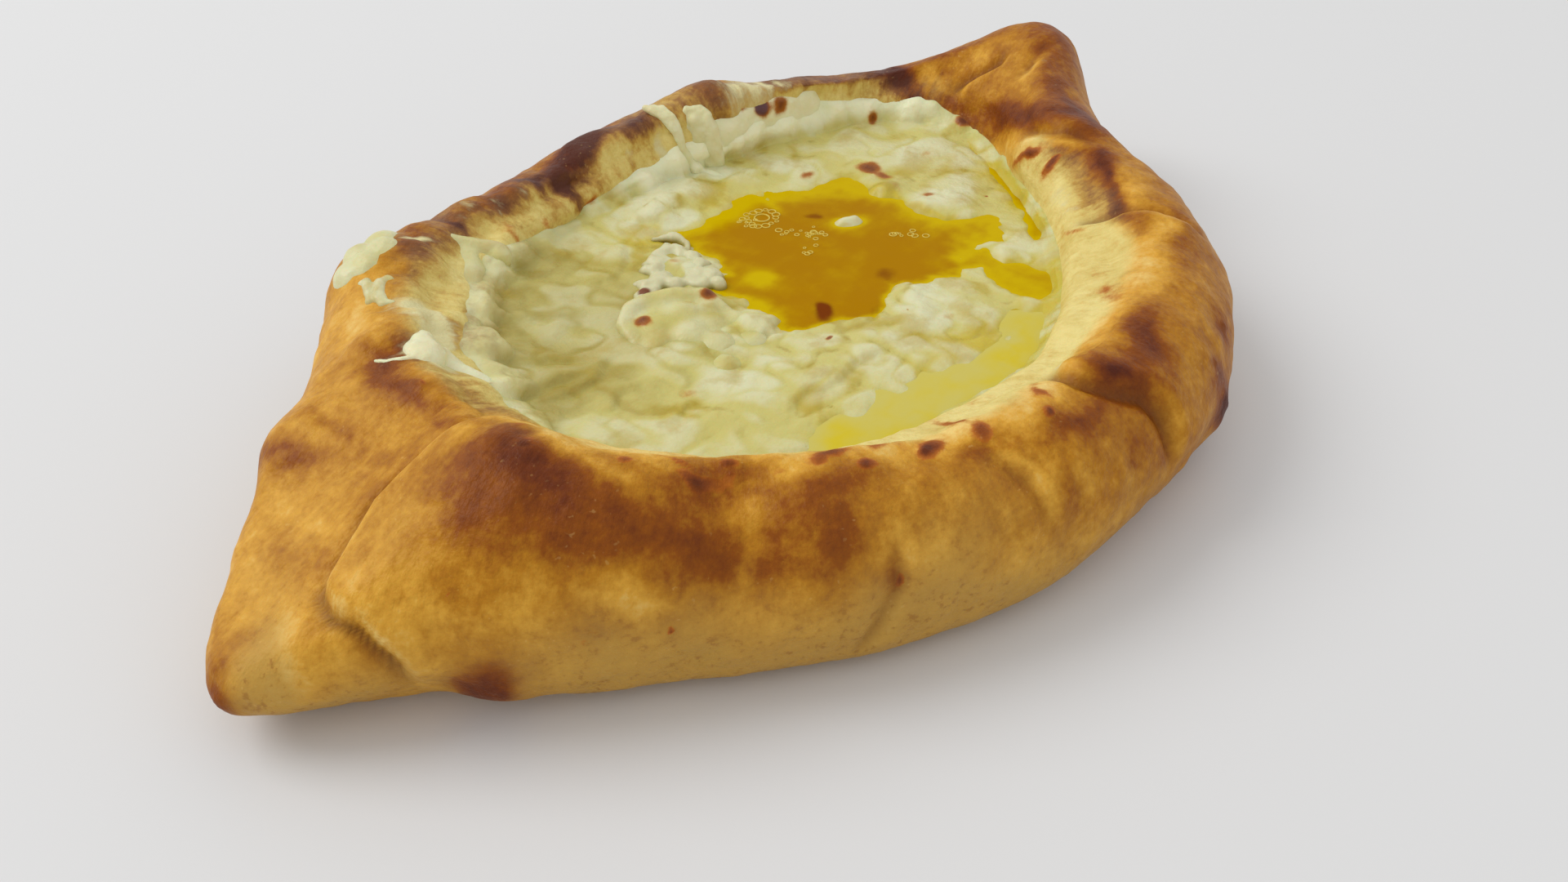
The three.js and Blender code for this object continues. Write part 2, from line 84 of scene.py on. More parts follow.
# Folded edges: (line of stations and rows, height of the lip, depth of the crease, reach of the lip).
FOLDS = [
    (
        [
            (0.3, 6.6), (0.38, 5.3), (0.18, 4.5), (0.32, 3.95), (0.5, 3.5), (0.66, 3), (0.77, 2.4),
            (0.8, 1.5),
        ], 2.8, 1.8, 14,
    ),
    ([(3.12, 3.6), (3.07, 2.6), (2.97, 1.8), (2.85, 1)], 1, 1, 6),
    ([(3.72, 4.5), (3.84, 3.7), (3.86, 2.6)], 1, 1.2, 7),
    (
        [(4.74, 2.2), (4.77, 3.3), (4.74, 3.8), (4.62, 4.3), (4.55, 4.8), (4.57, 5.3), (4.7, 6.2)],
        -3, 2.2, 12,
    ),
    ([(4.07, 3.6), (4.08, 2.6)], 0.5, 0.7, 4), ([(4.42, 3.6), (4.46, 2.4)], -0.5, 0.7, 4),
    ([(3.62, 3.9), (3.6, 2.8)], 0.4, 0.5, 4), ([(0.85, 5.7), (1, 5.3), (0.95, 4.7)], 0.6, 0.7, 4),
    ([(2.55, 3.6), (2.5, 2.9)], 0.4, 0.6, 4),
    ([(6.42, 3.6), (6.52, 4.6), (6.6, 5.4), (6.64, 6.2), (6.7, 7.3)], 2.4, 1.6, 12),
    ([(7.4, 4.7), (7.6, 5.2), (7.95, 6.2), (8.1, 7)], 1.2, 1.5, 10),
    ([(8.7, 4.6), (8.62, 5.6), (8.75, 6.3)], 1.2, 1.2, 8),
    ([(9, 5.4), (9.04, 5.9), (9.3, 6.5), (9.36, 7.3)], 2.2, 2, 10),
]
FOLD_WIDTH = 2.4
FOLD_FADE = 9
# Hollows between swellings: (line, depth, width).
VALLEYS = [
    ([(2.22, 5.4), (2.32, 3.6), (2.34, 2.2)], 4, 9), ([(3.4, 5.4), (3.5, 4.2)], 1.2, 8),
    ([(5.95, 5.4), (6.3, 6.6), (6.4, 7.4)], 1.5, 10), ([(10.25, 7.6), (10.2, 5.8)], 1.4, 4),
    ([(10.6, 7.8), (10.8, 6.4), (10.95, 5.4)], 1.6, 4), ([(11.66, 7.9), (11.66, 6.2)], 2.4, 4),
    ([(12.95, 7), (12.95, 5)], 1.4, 5), ([(13.6, 7.4), (13.66, 5)], 1.8, 4),
    ([(15, 6.4), (14.9, 5.2)], 1.6, 5),
]

# Blisters and burnt spots: (station, row, half length, half width, darkness).
BLISTERS = [
    (1.07, 4.97, 2.9, 1.5, 1), (0.95, 5.1, 2.2, 1.2, 0.55, 20), (1.63, 5.02, 1.8, 1, 0.65),
    (1.95, 5.08, 4, 0.6, 0.5), (2.07, 4.6, 3.4, 2.7, 1), (2.24, 4.66, 3.6, 2.6, 0.48),
    (2.32, 4.78, 1.4, 1, 0.6), (2.28, 5.02, 2.8, 1.1, 0.9), (3.12, 4.58, 2.9, 1.4, 0.95, -18),
    (2.96, 4.98, 4, 1.2, 0.8, 8), (3.57, 4.86, 3, 2.3, 0.95), (3.5, 4.8, 1.4, 1, 0.6),
    (3.84, 4.78, 2.4, 2.1, 0.7), (4.2, 4.55, 1.6, 1.3, 0.95), (4.32, 4.95, 1.2, 2.2, 0.45),
    (4.76, 4.88, 1.8, 2.6, 0.5), (4.66, 4.3, 1.1, 6.5, 0.75, 33), (3.45, 5.6, 1.2, 5, 0.36, 5),
    (3.84, 5.35, 2.2, 1.8, 0.45), (3.3, 5.1, 2.6, 1.2, 0.45), (3.9, 5.9, 1.2, 7, 0.4, 5),
    (4.42, 5.4, 6, 0.9, 0.3, 35), (5.68, 5.9, 2, 2, 0.3, 40), (5.5, 5.6, 4.6, 1.8, 0.22, 50),
    (5.62, 5.72, 4, 3, 0.16, 30), (7.45, 6.4, 1.3, 3.4, 0.95), (7.8, 7.1, 7, 1.1, 0.52, 42),
    (7.7, 6.7, 2.2, 1.2, 0.5, 45), (6.6, 7, 4.5, 0.9, 0.34, 42), (9.1, 7.62, 2.8, 1.6, 0.85),
    (10.12, 7.7, 1.8, 2.6, 0.85), (11.2, 6.2, 2, 2, 0.6, 20), (12.78, 7.3, 2, 1.5, 0.45),
    (13.25, 7.2, 1.4, 2, 0.28), (13.53, 6.9, 1.4, 3, 0.3), (12.84, 5.6, 2.6, 1.4, 0.7),
    (0.12, 2.27, 1.8, 1.6, 0.85), (15.4, 3.9, 1, 2.2, 0.6, -10), (3.07, 2.75, 0.8, 1.8, 1),
    (5.4, 2.45, 1.3, 3.2, 0.85, 20), (5.36, 3.25, 0.7, 0.8, 0.9), (5.68, 3.35, 0.9, 0.8, 0.9),
    (5.32, 3.05, 0.6, 0.7, 0.7), (1, 3.27, 0.5, 0.5, 0.6), (1.97, 2.45, 0.6, 0.6, 0.7),
    (1.58, 2.42, 1.2, 0.9, 0.3), (2.6, 4.78, 2, 0.8, 0.35), (15.6, 5.05, 2.6, 0.8, 0.6, 10),
    (1.5, 2.8, 1.6, 1, 0.25), (1.62, 2.62, 1.2, 1, 0.25), (2.2, 3.3, 1.2, 1.6, 0.3),
    (0.85, 5.3, 2.6, 0.8, 0.4, 30),
]

# Soft browning and lighter places, a few lighter ones being painted highlights: (station, row, half length,
# half width, amount).
BROWNING = [
    (0.3, 5.1, 12, 2, 0.16), (15.9, 4.3, 10, 3, -0.1), (15.75, 3.6, 9, 5, -0.1), (0.02, 3.1, 5, 6, 0.1),
    (0.06, 2.45, 4, 5, 0.24), (0.33, 3.3, 5, 7, -0.12), (0.3, 2.6, 5, 4, -0.1), (0.55, 2.2, 4, 4, 0.08),
    (0.72, 2.6, 2.5, 6, 0.16), (1.45, 4.42, 24, 3.8, 0.2), (1.15, 4.35, 7, 3, 0.02),
    (1.55, 4.75, 12, 2, -0.1), (1.82, 4.5, 9, 3, 0.08), (1.38, 5.1, 7, 5, 0.02), (1.12, 5.25, 8, 3, -0.2),
    (1.75, 5.3, 18, 2.6, -0.14), (2.33, 3.9, 2.5, 9, -0.16), (0.95, 3.85, 4, 4, 0.14),
    (1.65, 3.75, 26, 6, 0.12), (0.95, 4.3, 5, 6, 0.1), (1.76, 3.02, 6, 4, -0.16),
    (1.32, 2.95, 6, 2.6, -0.06), (2.12, 3.28, 4.5, 3, 0.06), (1.9, 3.1, 6, 1.6, 0.1), (1.1, 1.6, 7, 9, 0.5),
    (0.93, 2.2, 3.5, 1.6, -0.16), (1.6, 2.5, 10, 3, 0.05), (1.95, 2.7, 5, 2, 0.06),
    (2.62, 3.75, 13, 8, 0.2), (2.72, 4.35, 9, 3.2, 0.14), (2.5, 4.45, 5, 1.8, 0.08),
    (2.86, 3.45, 3.5, 6, 0.14), (2.55, 3.15, 6, 3, 0.08), (2.33, 3.2, 2.2, 3.6, -0.14),
    (2.2, 4.72, 10, 1.8, -0.14), (2.3, 5.1, 12, 1.5, -0.05), (2.98, 5.3, 3.5, 3, 0.3),
    (3.25, 5.05, 10, 2.5, -0.04), (3.25, 4.3, 8, 4, -0.06), (3.75, 5.1, 12, 2.5, -0.2),
    (3.66, 4.4, 4.5, 3, 0.14), (4.28, 4.22, 10, 2.2, 0.26), (4.3, 3.9, 9, 1.8, 0.12),
    (4.25, 4.6, 5, 2.2, -0.1), (4.02, 3.4, 2.5, 6, 0.1), (3.95, 2.6, 3, 6, 0.08), (4.4, 2.8, 10, 6, 0.05),
    (4.68, 4.45, 2.2, 5.5, 0.46, 33), (4.3, 5, 8, 2.8, -0.24), (4.38, 4.95, 2.4, 3.4, -0.18),
    (4.9, 5.05, 6, 4.5, -0.14), (4.85, 4.4, 5, 4, 0.1), (5.12, 4.6, 8, 4, 0.46, 12), (5.05, 4, 8, 3, 0.1),
    (5.6, 5.9, 5, 3, 0.05, 40), (6.42, 5.4, 7, 2.6, 0.3), (6.6, 5.6, 8, 3, 0.24), (6.1, 4.5, 10, 5, 0.14),
    (6.92, 5.34, 12, 2.4, 0.5), (7.24, 5.34, 5, 2.8, 0.4), (7.6, 5.6, 8, 4, 0.14),
    (8.05, 5.6, 8, 4, 0.24, 20), (8.3, 6.3, 13, 8, 0.4, 18), (8.68, 6.9, 8, 3.5, 0.2),
    (8.25, 4.8, 11, 5, 0.1), (7, 6, 14, 4, 0.3), (7.2, 6.4, 12, 4.5, 0.12), (9.35, 6.1, 10, 8, 0.22),
    (9.1, 5.45, 11, 2.2, 0.1), (9.45, 6.3, 2.5, 6, 0.12), (9.3, 7.4, 5, 1.5, 0.2),
    (9.78, 6.45, 5.5, 7, 0.5, 10), (9.95, 5.65, 5.5, 4.5, 0.34), (9.82, 5.9, 11, 7, 0.16),
    (10.4, 5.1, 16, 3.5, 0.2), (10.62, 7.5, 1.2, 5, 0.3, 8), (10.85, 6, 1.2, 5, 0.3, 8),
    (11.4, 4.95, 26, 3.5, 0.18), (12.15, 5.1, 6, 4, 0.24), (12.6, 5, 9, 4.6, 0.8),
    (12.86, 6.1, 2, 6, 0.5, 8), (13.02, 5.3, 2.2, 5, 0.42, 8), (13.3, 4.9, 20, 4.5, 0.08),
    (13.71, 5.25, 2.4, 5, 0.5), (13.8, 4.6, 12, 4, 0.1), (14.2, 5, 12, 3, 0.12), (14.95, 6.6, 5, 4, 0.3),
    (14.9, 5.85, 2, 3.5, 0.45, 20), (15.05, 5.05, 8, 3, 0.26), (15.15, 4.65, 6, 2.6, 0.26),
    (15.6, 4.95, 14, 2.2, 0.26, 8), (15.55, 4.5, 10, 2, 0.22, 16), (15.38, 3.9, 3.5, 7, 0.22, -15),
    (15.3, 3.1, 7, 6, 0.04), (14.7, 4.2, 8, 4, -0.1), (0.5, 6.2, 4, 2, 0.4, -30),
    (0.62, 5.8, 5, 2, 0.24, -30), (3.3, 3.1, 10, 8, -0.04), (5.4, 2.3, 4, 5, 0.4, 30),
    (15.7, 6.2, 16, 8, 0.26), (0.1, 6, 10, 7, 0.22), (5.65, 3.2, 12, 4, 0.08), (11.66, 7, 2.4, 6, 0.5),
    (12.6, 6.9, 12, 6, 0.16), (13.2, 6.6, 10, 7, 0.14), (14.55, 7.2, 3, 6, 0.22), (6.3, 4.9, 8, 5, -0.168),
    (5.7, 5.2, 8, 4, -0.21), (1.55, 4, 27, 7, 0.2), (1, 4, 9, 8, 0.1), (2.7, 3.8, 16, 10, 0.08),
    (7.3, 5.2, 22, 6, 0.16), (8.2, 6, 16, 9, 0.128), (12.6, 4.8, 10, 5, 0.208),
]
# Cheese smeared on the dough: (station, row, half length, half width, amount).
SMEARS = [
    (10.12, 6.6, 6, 10, 0.6), (11, 6.8, 34, 13, 1), (12.1, 6.8, 16, 13, 1), (12.9, 7.1, 26, 11, 0.85),
    (13.8, 6.9, 22, 12, 0.95), (14.6, 6.7, 20, 12, 0.95), (15.3, 6.6, 18, 11, 0.9), (0, 6.6, 22, 9, 0.7),
    (14, 4.1, 6, 4, 0.9), (13.1, 5.3, 8, 3, 0.5), (12.2, 5.3, 6, 3, 0.5), (13.6, 4.4, 9, 3, 0.35),
    (14.35, 5.4, 10, 3.5, 0.65), (11.3, 5, 12, 3, 0.45),
]
# White cheese and curd on the dough, the same way.
MILK = [
    (14.72, 5.3, 2.2, 4, 0.5, 20), (14.9, 5.7, 3, 5, 0.5), (14.8, 5.6, 2.4, 3.4, 0.8, 10),
    (15.02, 5.95, 3, 4, 0.9, 10), (15.26, 5.75, 4.2, 4.4, 1), (14.1, 4.05, 5, 3, 0.7),
    (12.45, 5.3, 1.8, 3, 0.2), (13.45, 4.7, 3, 1.6, 0.25, 25), (10.1, 6.9, 1.2, 5, 0.4),
    (4.66, 5.85, 3, 3, 0.6, -30), (7.05, 7.1, 8, 4, 0.45), (8.62, 5.4, 1.2, 4, 0.5, 10),
    (12.05, 6.6, 2, 7, 0.7), (12.3, 6, 1.5, 3, 0.5), (13.48, 5.7, 1, 2, 0.4), (11.35, 5.3, 15, 6, 0.62),
    (6.98, 6.4, 9, 5, 0.22), (12.4, 7.6, 3, 3, 0.5), (14.08, 4.8, 1, 3, 0.5, 15),
]

# The yolk's and the butter's shores: outlines on the cheese, in x and y.
YOLK_SHORE = [
    (-2, 49), (-1, 42), (3, 34), (-1, 26), (-8, 20), (-10, 14), (-9, 6), (-10, -2), (-18, -4), (-9, -9),
    (-2, -12), (5, -18), (15, -17), (20, -12), (24, -19), (31, -24), (36, -21), (43, -20), (50, -20),
    (55, -27), (62, -22), (66, -17), (60, -8), (57, 0), (61, 8), (64, 15), (60, 20), (65, 25), (58, 32),
    (48, 36), (38, 44), (30, 46), (22, 42), (12, 47), (5, 49),
]
YOLK_CHANNEL = [
    (36, -20), (40, -27), (35, -36), (35, -46), (42, -48), (48, -44), (46, -34), (47, -27), (52, -22),
]
YOLK_STRIP = [(60, -31), (72, -22), (82, -10), (92, 4), (98, 12), (96, 8), (89, -6), (78, -19), (66, -31)]
BUTTER_SHORE = [
    (-58, -30), (-40, -34), (-20, -36), (-5, -42), (8, -47), (22, -44), (34, -50), (30, -56), (8, -64),
    (-28, -58), (-56, -44), (-66, -32),
]
# Round outlines that the level pools fill, out to under the cheese.
YOLK_BASIN = [
    (-22, -4), (-18, -20), (4, -32), (24, -40), (34, -50), (44, -52), (56, -40), (70, -30), (84, -16),
    (97, 4), (98, 12), (90, 20), (76, 34), (52, 46), (30, 54), (6, 56), (-12, 50), (-18, 34), (-18, 14),
]
BUTTER_BASIN = [
    (-70, -30), (-56, -27), (-30, -29), (0, -34), (26, -38), (42, -44), (40, -54), (24, -61), (8, -66),
    (-14, -64), (-34, -58), (-54, -48), (-66, -38),
]
# Where the yolk is spread thin: (x, y, half length, half width, amount).
YOLK_THIN = [
    (50, 28, 12, 7, 1, -30), (58, -14, 8, 10, 1), (30, 43, 12, 4, 0.8), (60, 4, 6, 8, 0.8),
    (44, 10, 7, 9, 0.5, 30), (-9, 8, 4, 10, 0.8), (3, 14, 4, 4, 0.9), (41, -38, 4, 10, 0.7),
    (36, -17, 8, 4, 0.6), (3, 42, 6, 6, 0.5),
]
YOLK_LEVEL = 26.2
YOLK_DEPTH = 2.6
THIN_YOLK_DEPTH = 1.5
BUTTER_LEVEL = 26.16
BUTTER_DEPTH = 1.3
CHEESE_LIFT = 0.4
CHEESE_ABOVE_YOLK = 0.15

# Swellings of the cheese: (x, y, half length, half width, height).
CHEESE_HUMPS = [
    (-40, 6, 16, 6, 1.6, 20), (-25, 2, 10, 6, 1.4), (-56, 22, 5, 14, 1.2, 15), (-62, 30, 3, 10, 1.4, 20),
    (-52, -14, 12, 6, 1.2, -20), (-30, -18, 16, 8, 0.9), (-10, -24, 14, 7, 1), (12, -26, 8, 5, 1),
    (19, -19, 4, 3.5, 1.8), (26, -30, 6, 4, 0.9), (49, -29, 5, 3.5, 1.2, 20), (64, -4, 6, 6, 1.3),
    (60, 15, 4.5, 4, 2.6), (76, 4, 9, 6, 1, 40), (80, 26, 12, 8, 1, -20), (60, 42, 12, 6, 1.2, -20),
    (38, 13.8, 2.6, 2.8, 3.1, 30), (41, 11.6, 2.4, 2.2, 2.9), (40, 50, 10, 4, 1.2, -10), (24, 55, 10, 5, 2),
    (12, 57, 8, 5, 2.4, 20), (8, 66, 8, 4, 1.8), (-10, 50, 8, 4, 1), (-24, 42, 8, 5, 1),
    (-34, 50, 9, 4, 1.2, 20), (-45, 38, 7, 4, 1, 30), (-48, 52, 8, 3, 1.4, 35), (-12, 60, 12, 4, 1.2),
    (35, 35, 1.6, 8, 1.4, -25), (-14, 3, 4, 5, 1.2), (-7, 33, 5, 6, 1.4), (-70, 2, 4, 12, 1.4),
    (34, 63, 6, 5, 2.2), (46, -7, 3, 3, 0.3), (3, 14, 3.6, 3.6, 1.2), (-8, 7, 2.4, 6, 1.6, 10),
    (58, 2, 3, 4, 1.2), (90, 14, 6, 10, 0.8), (98, 30, 5, 9, 2, -15), (84, 44, 9, 5, 2.2, -35),
    (60, 54, 12, 4, 2.2, -22),
]
# Wrinkles in the cheese: (line in x and y, height of the lip, depth of the crease, reach).
CHEESE_WRINKLES = [
    ([(-68, 13), (-62, 15), (-55, 13), (-49, 17), (-43, 17)], 1.4, 0.4, 4),
    ([(-73, 27), (-66, 26), (-60, 19), (-54, 17)], 1.68, 0.4, 4),
    ([(-64, 40), (-59, 33), (-55, 25), (-50, 20)], 1.4, 0.4, 4),
    ([(-67, 5), (-61, 3), (-56, 6), (-52, 4), (-47, 7)], 1.26, 0.5, 4),
    ([(-62, -8), (-57, -11), (-51, -9), (-47, -13)], 1.12, 0.5, 4),
    ([(-40, -27), (-30, -25), (-22, -28), (-14, -27), (-5, -31)], 0.7, 0.6, 4),
    ([(14, -25), (17, -32), (15, -36)], 0.42, 0.5, 3),
    ([(-58, 44), (-50, 38), (-44, 40), (-36, 35)], 0.98, 0.4, 4),
    ([(-28, 44), (-20, 40), (-12, 44), (-4, 52)], 0.84, 0.4, 4),
    ([(-16, 66), (-2, 58), (8, 52), (10, 46)], 1.4, 0.3, 6),
]
WRINKLE_WIDTH = 1.4
WRINKLE_FADE = 6
# Colour of the cheese: (x, y, half length, half width, amount).
CHEESE_WHITE = [
    (-22, 12, 14, 10, 0.55), (20, 60, 14, 8, 0.9, 10), (8, 57, 6, 4, 0.6), (14, 49, 6, 3, 0.7, 20),
    (38, 56, 4, 3, 0.7), (64, -3, 6, 7, 0.6), (60, 15, 4.6, 4.4, 0.6), (39, 13, 3.4, 4, 1, 30),
    (20, -19, 6, 5, 0.6), (48, -30, 8, 5, 0.5), (-30, -12, 22, 10, 0.3), (10, -26, 16, 8, 0.4),
    (78, 2, 10, 8, 0.4), (84, 22, 10, 8, 0.3), (30, 66, 10, 6, 0.6), (-5, 30, 7, 8, 0.6),
    (36, 34, 2, 7, 0.5, -25), (60, 44, 14, 6, 0.35), (-64, 28, 4, 9, 0.3), (-9, 6, 3, 6, 0.3),
    (12, 47, 5, 2, 0.5), (3, 42, 4, 3, 0.4), (-10, -17, 6, 4, 0.4),
]
CHEESE_OIL = [
    (-10, -46, 60, 10, 0.9, -8), (20, -50, 26, 8, 0.5), (80, -10, 18, 3, 0.8, 52), (-40, 22, 26, 14, 0.55),
    (-30, 48, 28, 10, 0.5), (0, 8, 60, 40, 0.15), (50, -36, 14, 6, 0.5, 30), (30, 48, 22, 6, 0.3),
    (64, 26, 12, 10, 0.3), (-14, 0, 7, 5, 0.5), (0, 50, 8, 5, 0.5), (88, 34, 12, 10, 0.25),
    (-60, -10, 10, 14, 0.3), (55, -39, 6, 3, 0.8, 20), (24, -32, 12, 5, 0.25), (92, 6, 6, 12, 0.35, -20),
]
CHEESE_SPOTS = [
    (-0.6, -8, 4, 2.6, 0.8, 30), (1.8, -5.6, 2, 1.8, 0.45), (37, 22, 2.4, 2.2, 0.55),
    (23, -10, 3.6, 3, 0.45), (8, -17, 2.2, 1.6, 0.4), (67, 26, 2.6, 3.4, 0.75, 20), (66, 20, 1.8, 3, 0.5),
    (64, 3, 1.6, 1.6, 0.45), (53, 37, 2.6, 1.8, 0.5), (-47, -5, 2.4, 2, 0.35), (15, -33, 2.2, 1.8, 0.25),
    (-10, -17, 1.3, 0.7, 0.8), (84, 17, 2.4, 1.4, 0.3), (62, 12, 1.5, 3, 0.3), (2, 36, 1.5, 2, 0.3),
    (70, -33, 2.5, 1.6, 0.35), (-6.5, 34, 1.8, 1.8, 0.35), (-21, 32, 2.2, 1.4, 0.6, 20),
    (74, -9, 0.5, 0.6, 0.7), (10, -24, 0.4, 0.4, 0.6), (60, 66, 2, 2, 0.3),
]
# The skin of cheese on the well's wall, by station: the row it climbs to, how far the cheese slopes up
# to it, and its thickness.
CLIMB_ROWS = [7.2, 7.6, 7.7, 7.7, 7.8, 7.7, 7.7, 7.8, 7.8, 7.5, 6.7, 6.4, 6.8, 7.5, 6.8, 6.8]
SLOPE_REACH = [11, 7, 4, 4, 4, 4, 3, 2.5, 2.5, 4, 8, 9, 10, 13, 15, 14]
FILM_THICKNESS = [1.8, 0.9, 0.6, 0.5, 0.5, 0.5, 0.5, 0.5, 0.5, 0.8, 1.4, 1.8, 2.2, 2, 2.8, 2.6]
HIGHEST_FILM_ROW = 7.7
LOWEST_FILM_ROW = 7.85
LEVEL_ROW = 8.0
HIDDEN_WALL_ROWS = [8.95, 8.5, 8, 7.9]
# Painted shade low on the side of the dough, a greyer dough colour, and dark holes in the cheese on
# the back wall where the dough shows through in painted shade, marked like the browning.
FOOT_SHADE_MARKS = [
    (3.35, 2.9, 16, 9, 0.6), (2.1, 2.5, 14, 7, 0.4), (0.36, 2.3, 7, 10, 0.9), (0.55, 1.6, 8, 6, 0.7),
    (0.25, 3.2, 5, 6, 0.5),
]
CHEESE_HOLES = [(11.7, 7.5, 1.6, 3.5, 1.4), (11.82, 7.6, 1, 1.6, 1.2), (11.45, 6.9, 1.2, 3, 0.6, 30)]

# Lumps and strands. Beads are (x, y, z, radius), and a strand's places are (x, y, z, radius, half width).
FOLD_BODY = [
    (-31, 19, 23.4, 7.2), (-24, 16, 23.8, 7), (-29, 10, 23.4, 7), (-22, 9, 23, 6.8), (-35, 14, 23.2, 6.2),
    (-27, 3, 22.8, 6.6), (-32, -4, 22.8, 5.6), (-17, 14, 24.4, 5.2), (-16, 6, 23.4, 5.4),
    (-37, 5, 22.4, 5.6), (-21, -2, 22.8, 5.6), (-26, 22, 24.6, 5.4),
]
FOLD_RIDGE = [
    (-38.5, 18, 26.6), (-36, 24, 28.2), (-31, 26.6, 29), (-25, 25.4, 29.2), (-19, 21.6, 29.4),
    (-14.6, 16.6, 28.8), (-14.8, 10.5, 26.8),
]
CURD_PATH = [
    (-2.7, 40), (-0.6, 37), (-0.4, 33), (-2.6, 29.4), (-6, 26.4), (-9.6, 25.4), (-12.6, 28), (-12.2, 32),
    (-11, 36), (-8, 39), (-5, 40.6), (-16, 31.5), (-18, 33.6), (-21.5, 30.4), (-23.4, 29.2), (-9.5, 22.6),
    (-4.6, 23.6),
]
CURD_CENTRE = (-6.6, 33)
BACK_SMEAR_EDGE = [
    (10.78, 6.7), (10.9, 6.4), (11.05, 6.15), (11.2, 6), (11.35, 6.05), (11.5, 6.2), (11.62, 6.45),
    (11.66, 7),
]
LEFT_STRAND = [
    (31.2, 72.6, 45.2, 1.1, 2.2), (31.9, 68.2, 43.4, 1.1, 1.2), (32.1, 65.4, 39.8, 1, 0.6),
    (32.4, 63.8, 35.4, 0.95, 0.3), (34, 62.4, 31, 0.95, 0.3), (35.3, 61, 28.2, 1.3, 0.6),
    (37.3, 57.8, 26.8, 1.4, 1), (37.6, 54.5, 26, 1.2, 1.2),
]
RIGHT_STRAND = [
    (39.2, 65.4, 43.4, 1.8, 1.8), (38.6, 64.8, 41.8, 2.2, 3.4), (38.2, 64.2, 39.2, 2.4, 4),
    (38.4, 63.4, 35.4, 2.4, 4), (39.4, 62.4, 31.4, 2.2, 3.4), (41, 60.8, 27.6, 1.8, 2),
]
STRAND_SIDEWAYS = (0.6, -0.8, 0)
# The biggest bubble: (x, y, radius). Patches of foam: (x, y, spread, number of bubbles).
BIG_BUBBLE = (27.5, 32.6, 2)
FOAM_PATCHES = [(28, 17, 2.4, 14), (25, 23, 1.6, 6), (22, 35, 2, 7), (22, 12, 3, 5), (44, -3, 2.4, 9)]

# Colours on the screen, 0 to 255.
DOUGH_FOOT_SHADE = (184, 144, 68)
FRECKLE = (146, 92, 36)
GLINT = (244, 206, 130)
CRUST_MILK = (220, 210, 156)
CRUST_CREASE_SHADE = (112, 62, 18)
CHEESE_CREAM = (202, 192, 112)
CHEESE_MILK = (216, 214, 172)
CHEESE_YELLOW = (198, 178, 58)
CHEESE_IN_SHADE = (152, 134, 58)
CHEESE_CREASE_SHADE = (168, 146, 58)
CHEESE_OILY = (180, 154, 40)
CHEESE_LIT = (248, 245, 208)
CHEESE_TAN = (146, 106, 52)
TOASTED_IN_SHADE = (96, 62, 66)
YOLK_AMBER = (170, 120, 0)
YOLK_YELLOW = (202, 172, 0)
BUTTER_THIN = (202, 190, 100)
BUTTER_DEEP = (208, 188, 48)
POOL_SPOT = (118, 54, 6)
CURD_SHADED = (162, 149, 82)
CURD_LIT = (210, 206, 164)
CURD_SPOT = (120, 64, 30)
FOAM_TONES = [(206, 172, 40), (222, 204, 104)]
FLOOR_PALE = (221, 221, 221)
# Colours by how far something is baked: (amount, colour).
SKIN_TONES = [
    (0, (236, 204, 122)), (0.24, (216, 160, 54)), (0.43, (180, 120, 20)), (0.62, (140, 74, 2)),
    (0.82, (108, 48, 8)), (1, (80, 30, 10)),
]
MARBLED_TONES = [
    (0, (230, 212, 136)), (0.24, (214, 190, 108)), (0.42, (186, 146, 70)), (0.6, (136, 90, 48)),
    (0.86, (88, 48, 34)),
]
BURNT_TONES = [(0.08, (206, 140, 52)), (0.34, (176, 100, 28)), (0.68, (134, 66, 18)), (1, (96, 42, 14))]
TOASTED_TONES = [(0.15, (200, 150, 56)), (0.45, (164, 96, 22)), (0.85, (104, 46, 8))]
# How far noise is squeezed along the rim and drawn out up the profile.
STREAKS = (1.7, 1.7, 0.24)
FINE_STREAKS = (5, 5, 0.42)
WRINKLES = (1, 1, 0.3)
# Depths of the bumps in metres.
CRUST_BUMP = 0.0009
CHEESE_BUMP = 0.0009
CURD_BUMP = 0.0006
POOL_BUMP = 0.0003

# The meshes' steps round the rim and their rings.
BREAD_STEPS = 600
BASE_RINGS = 5
SIDE_RINGS = 136
FLOOR_RINGS = 4
CHEESE_STEPS = 560
FILM_RINGS = 18
FILLET_RINGS = 14
TOP_RINGS = 96
POOL_STEPS = 240
POOL_RINGS = 60
POOL_SKIRT = 4
BREAD_CENTRE = (6, 0, 0)
CHEESE_CENTRE = np.array([10.0, 2.0])
SEAM_GAP = 0.00001

# Noise and measures on the surfaces.
LATTICE = 24
LATTICE_START = 100
UNROLLED_STATION = 14
ROWS_PER_STATION = 3.5
STEP = 0.02
TINY = 1e-12

# The studio. The camera's place is in millimetres.
FLOOR_SIZE = 6
SKY_STRENGTH = 0.77
WINDOW_SIZE = 2.0
WINDOW_POWER = 36
WINDOW_PLACE = (-0.9, 1.9, 2.2)
CAMERA_PLACE = (-232.03, -171.71, 204.39)
CAMERA_AIM = (0.6328, 0.4803, -0.6074)
LENS = 32.12
SENSOR = 36
NEAREST = 0.01


# ---- numbers ----

def ease(x, low, high):
    """0 below low, 1 above high, smooth between."""
    k = np.clip((x - low) / (high - low), 0, 1)
    return k * k * (3 - 2 * k)


def between(x, start, full, fading, gone):
    """1 from full to fading, with soft ends that reach out to start and gone."""
    return ease(x, start, full) * (1 - ease(x, fading, gone))


def bell(distance, width, power=2):
    return np.exp(-(distance / width) ** power)


def norm(vectors):
    return np.linalg.norm(vectors, axis=-1)


def unit(vectors):
    return vectors / norm(vectors)[..., None]


def raised(flat, height=0.0):
    """Places in x and y as points at a height."""
    return np.concatenate([flat, np.broadcast_to(height, flat.shape[:-1])[..., None]], axis=-1)


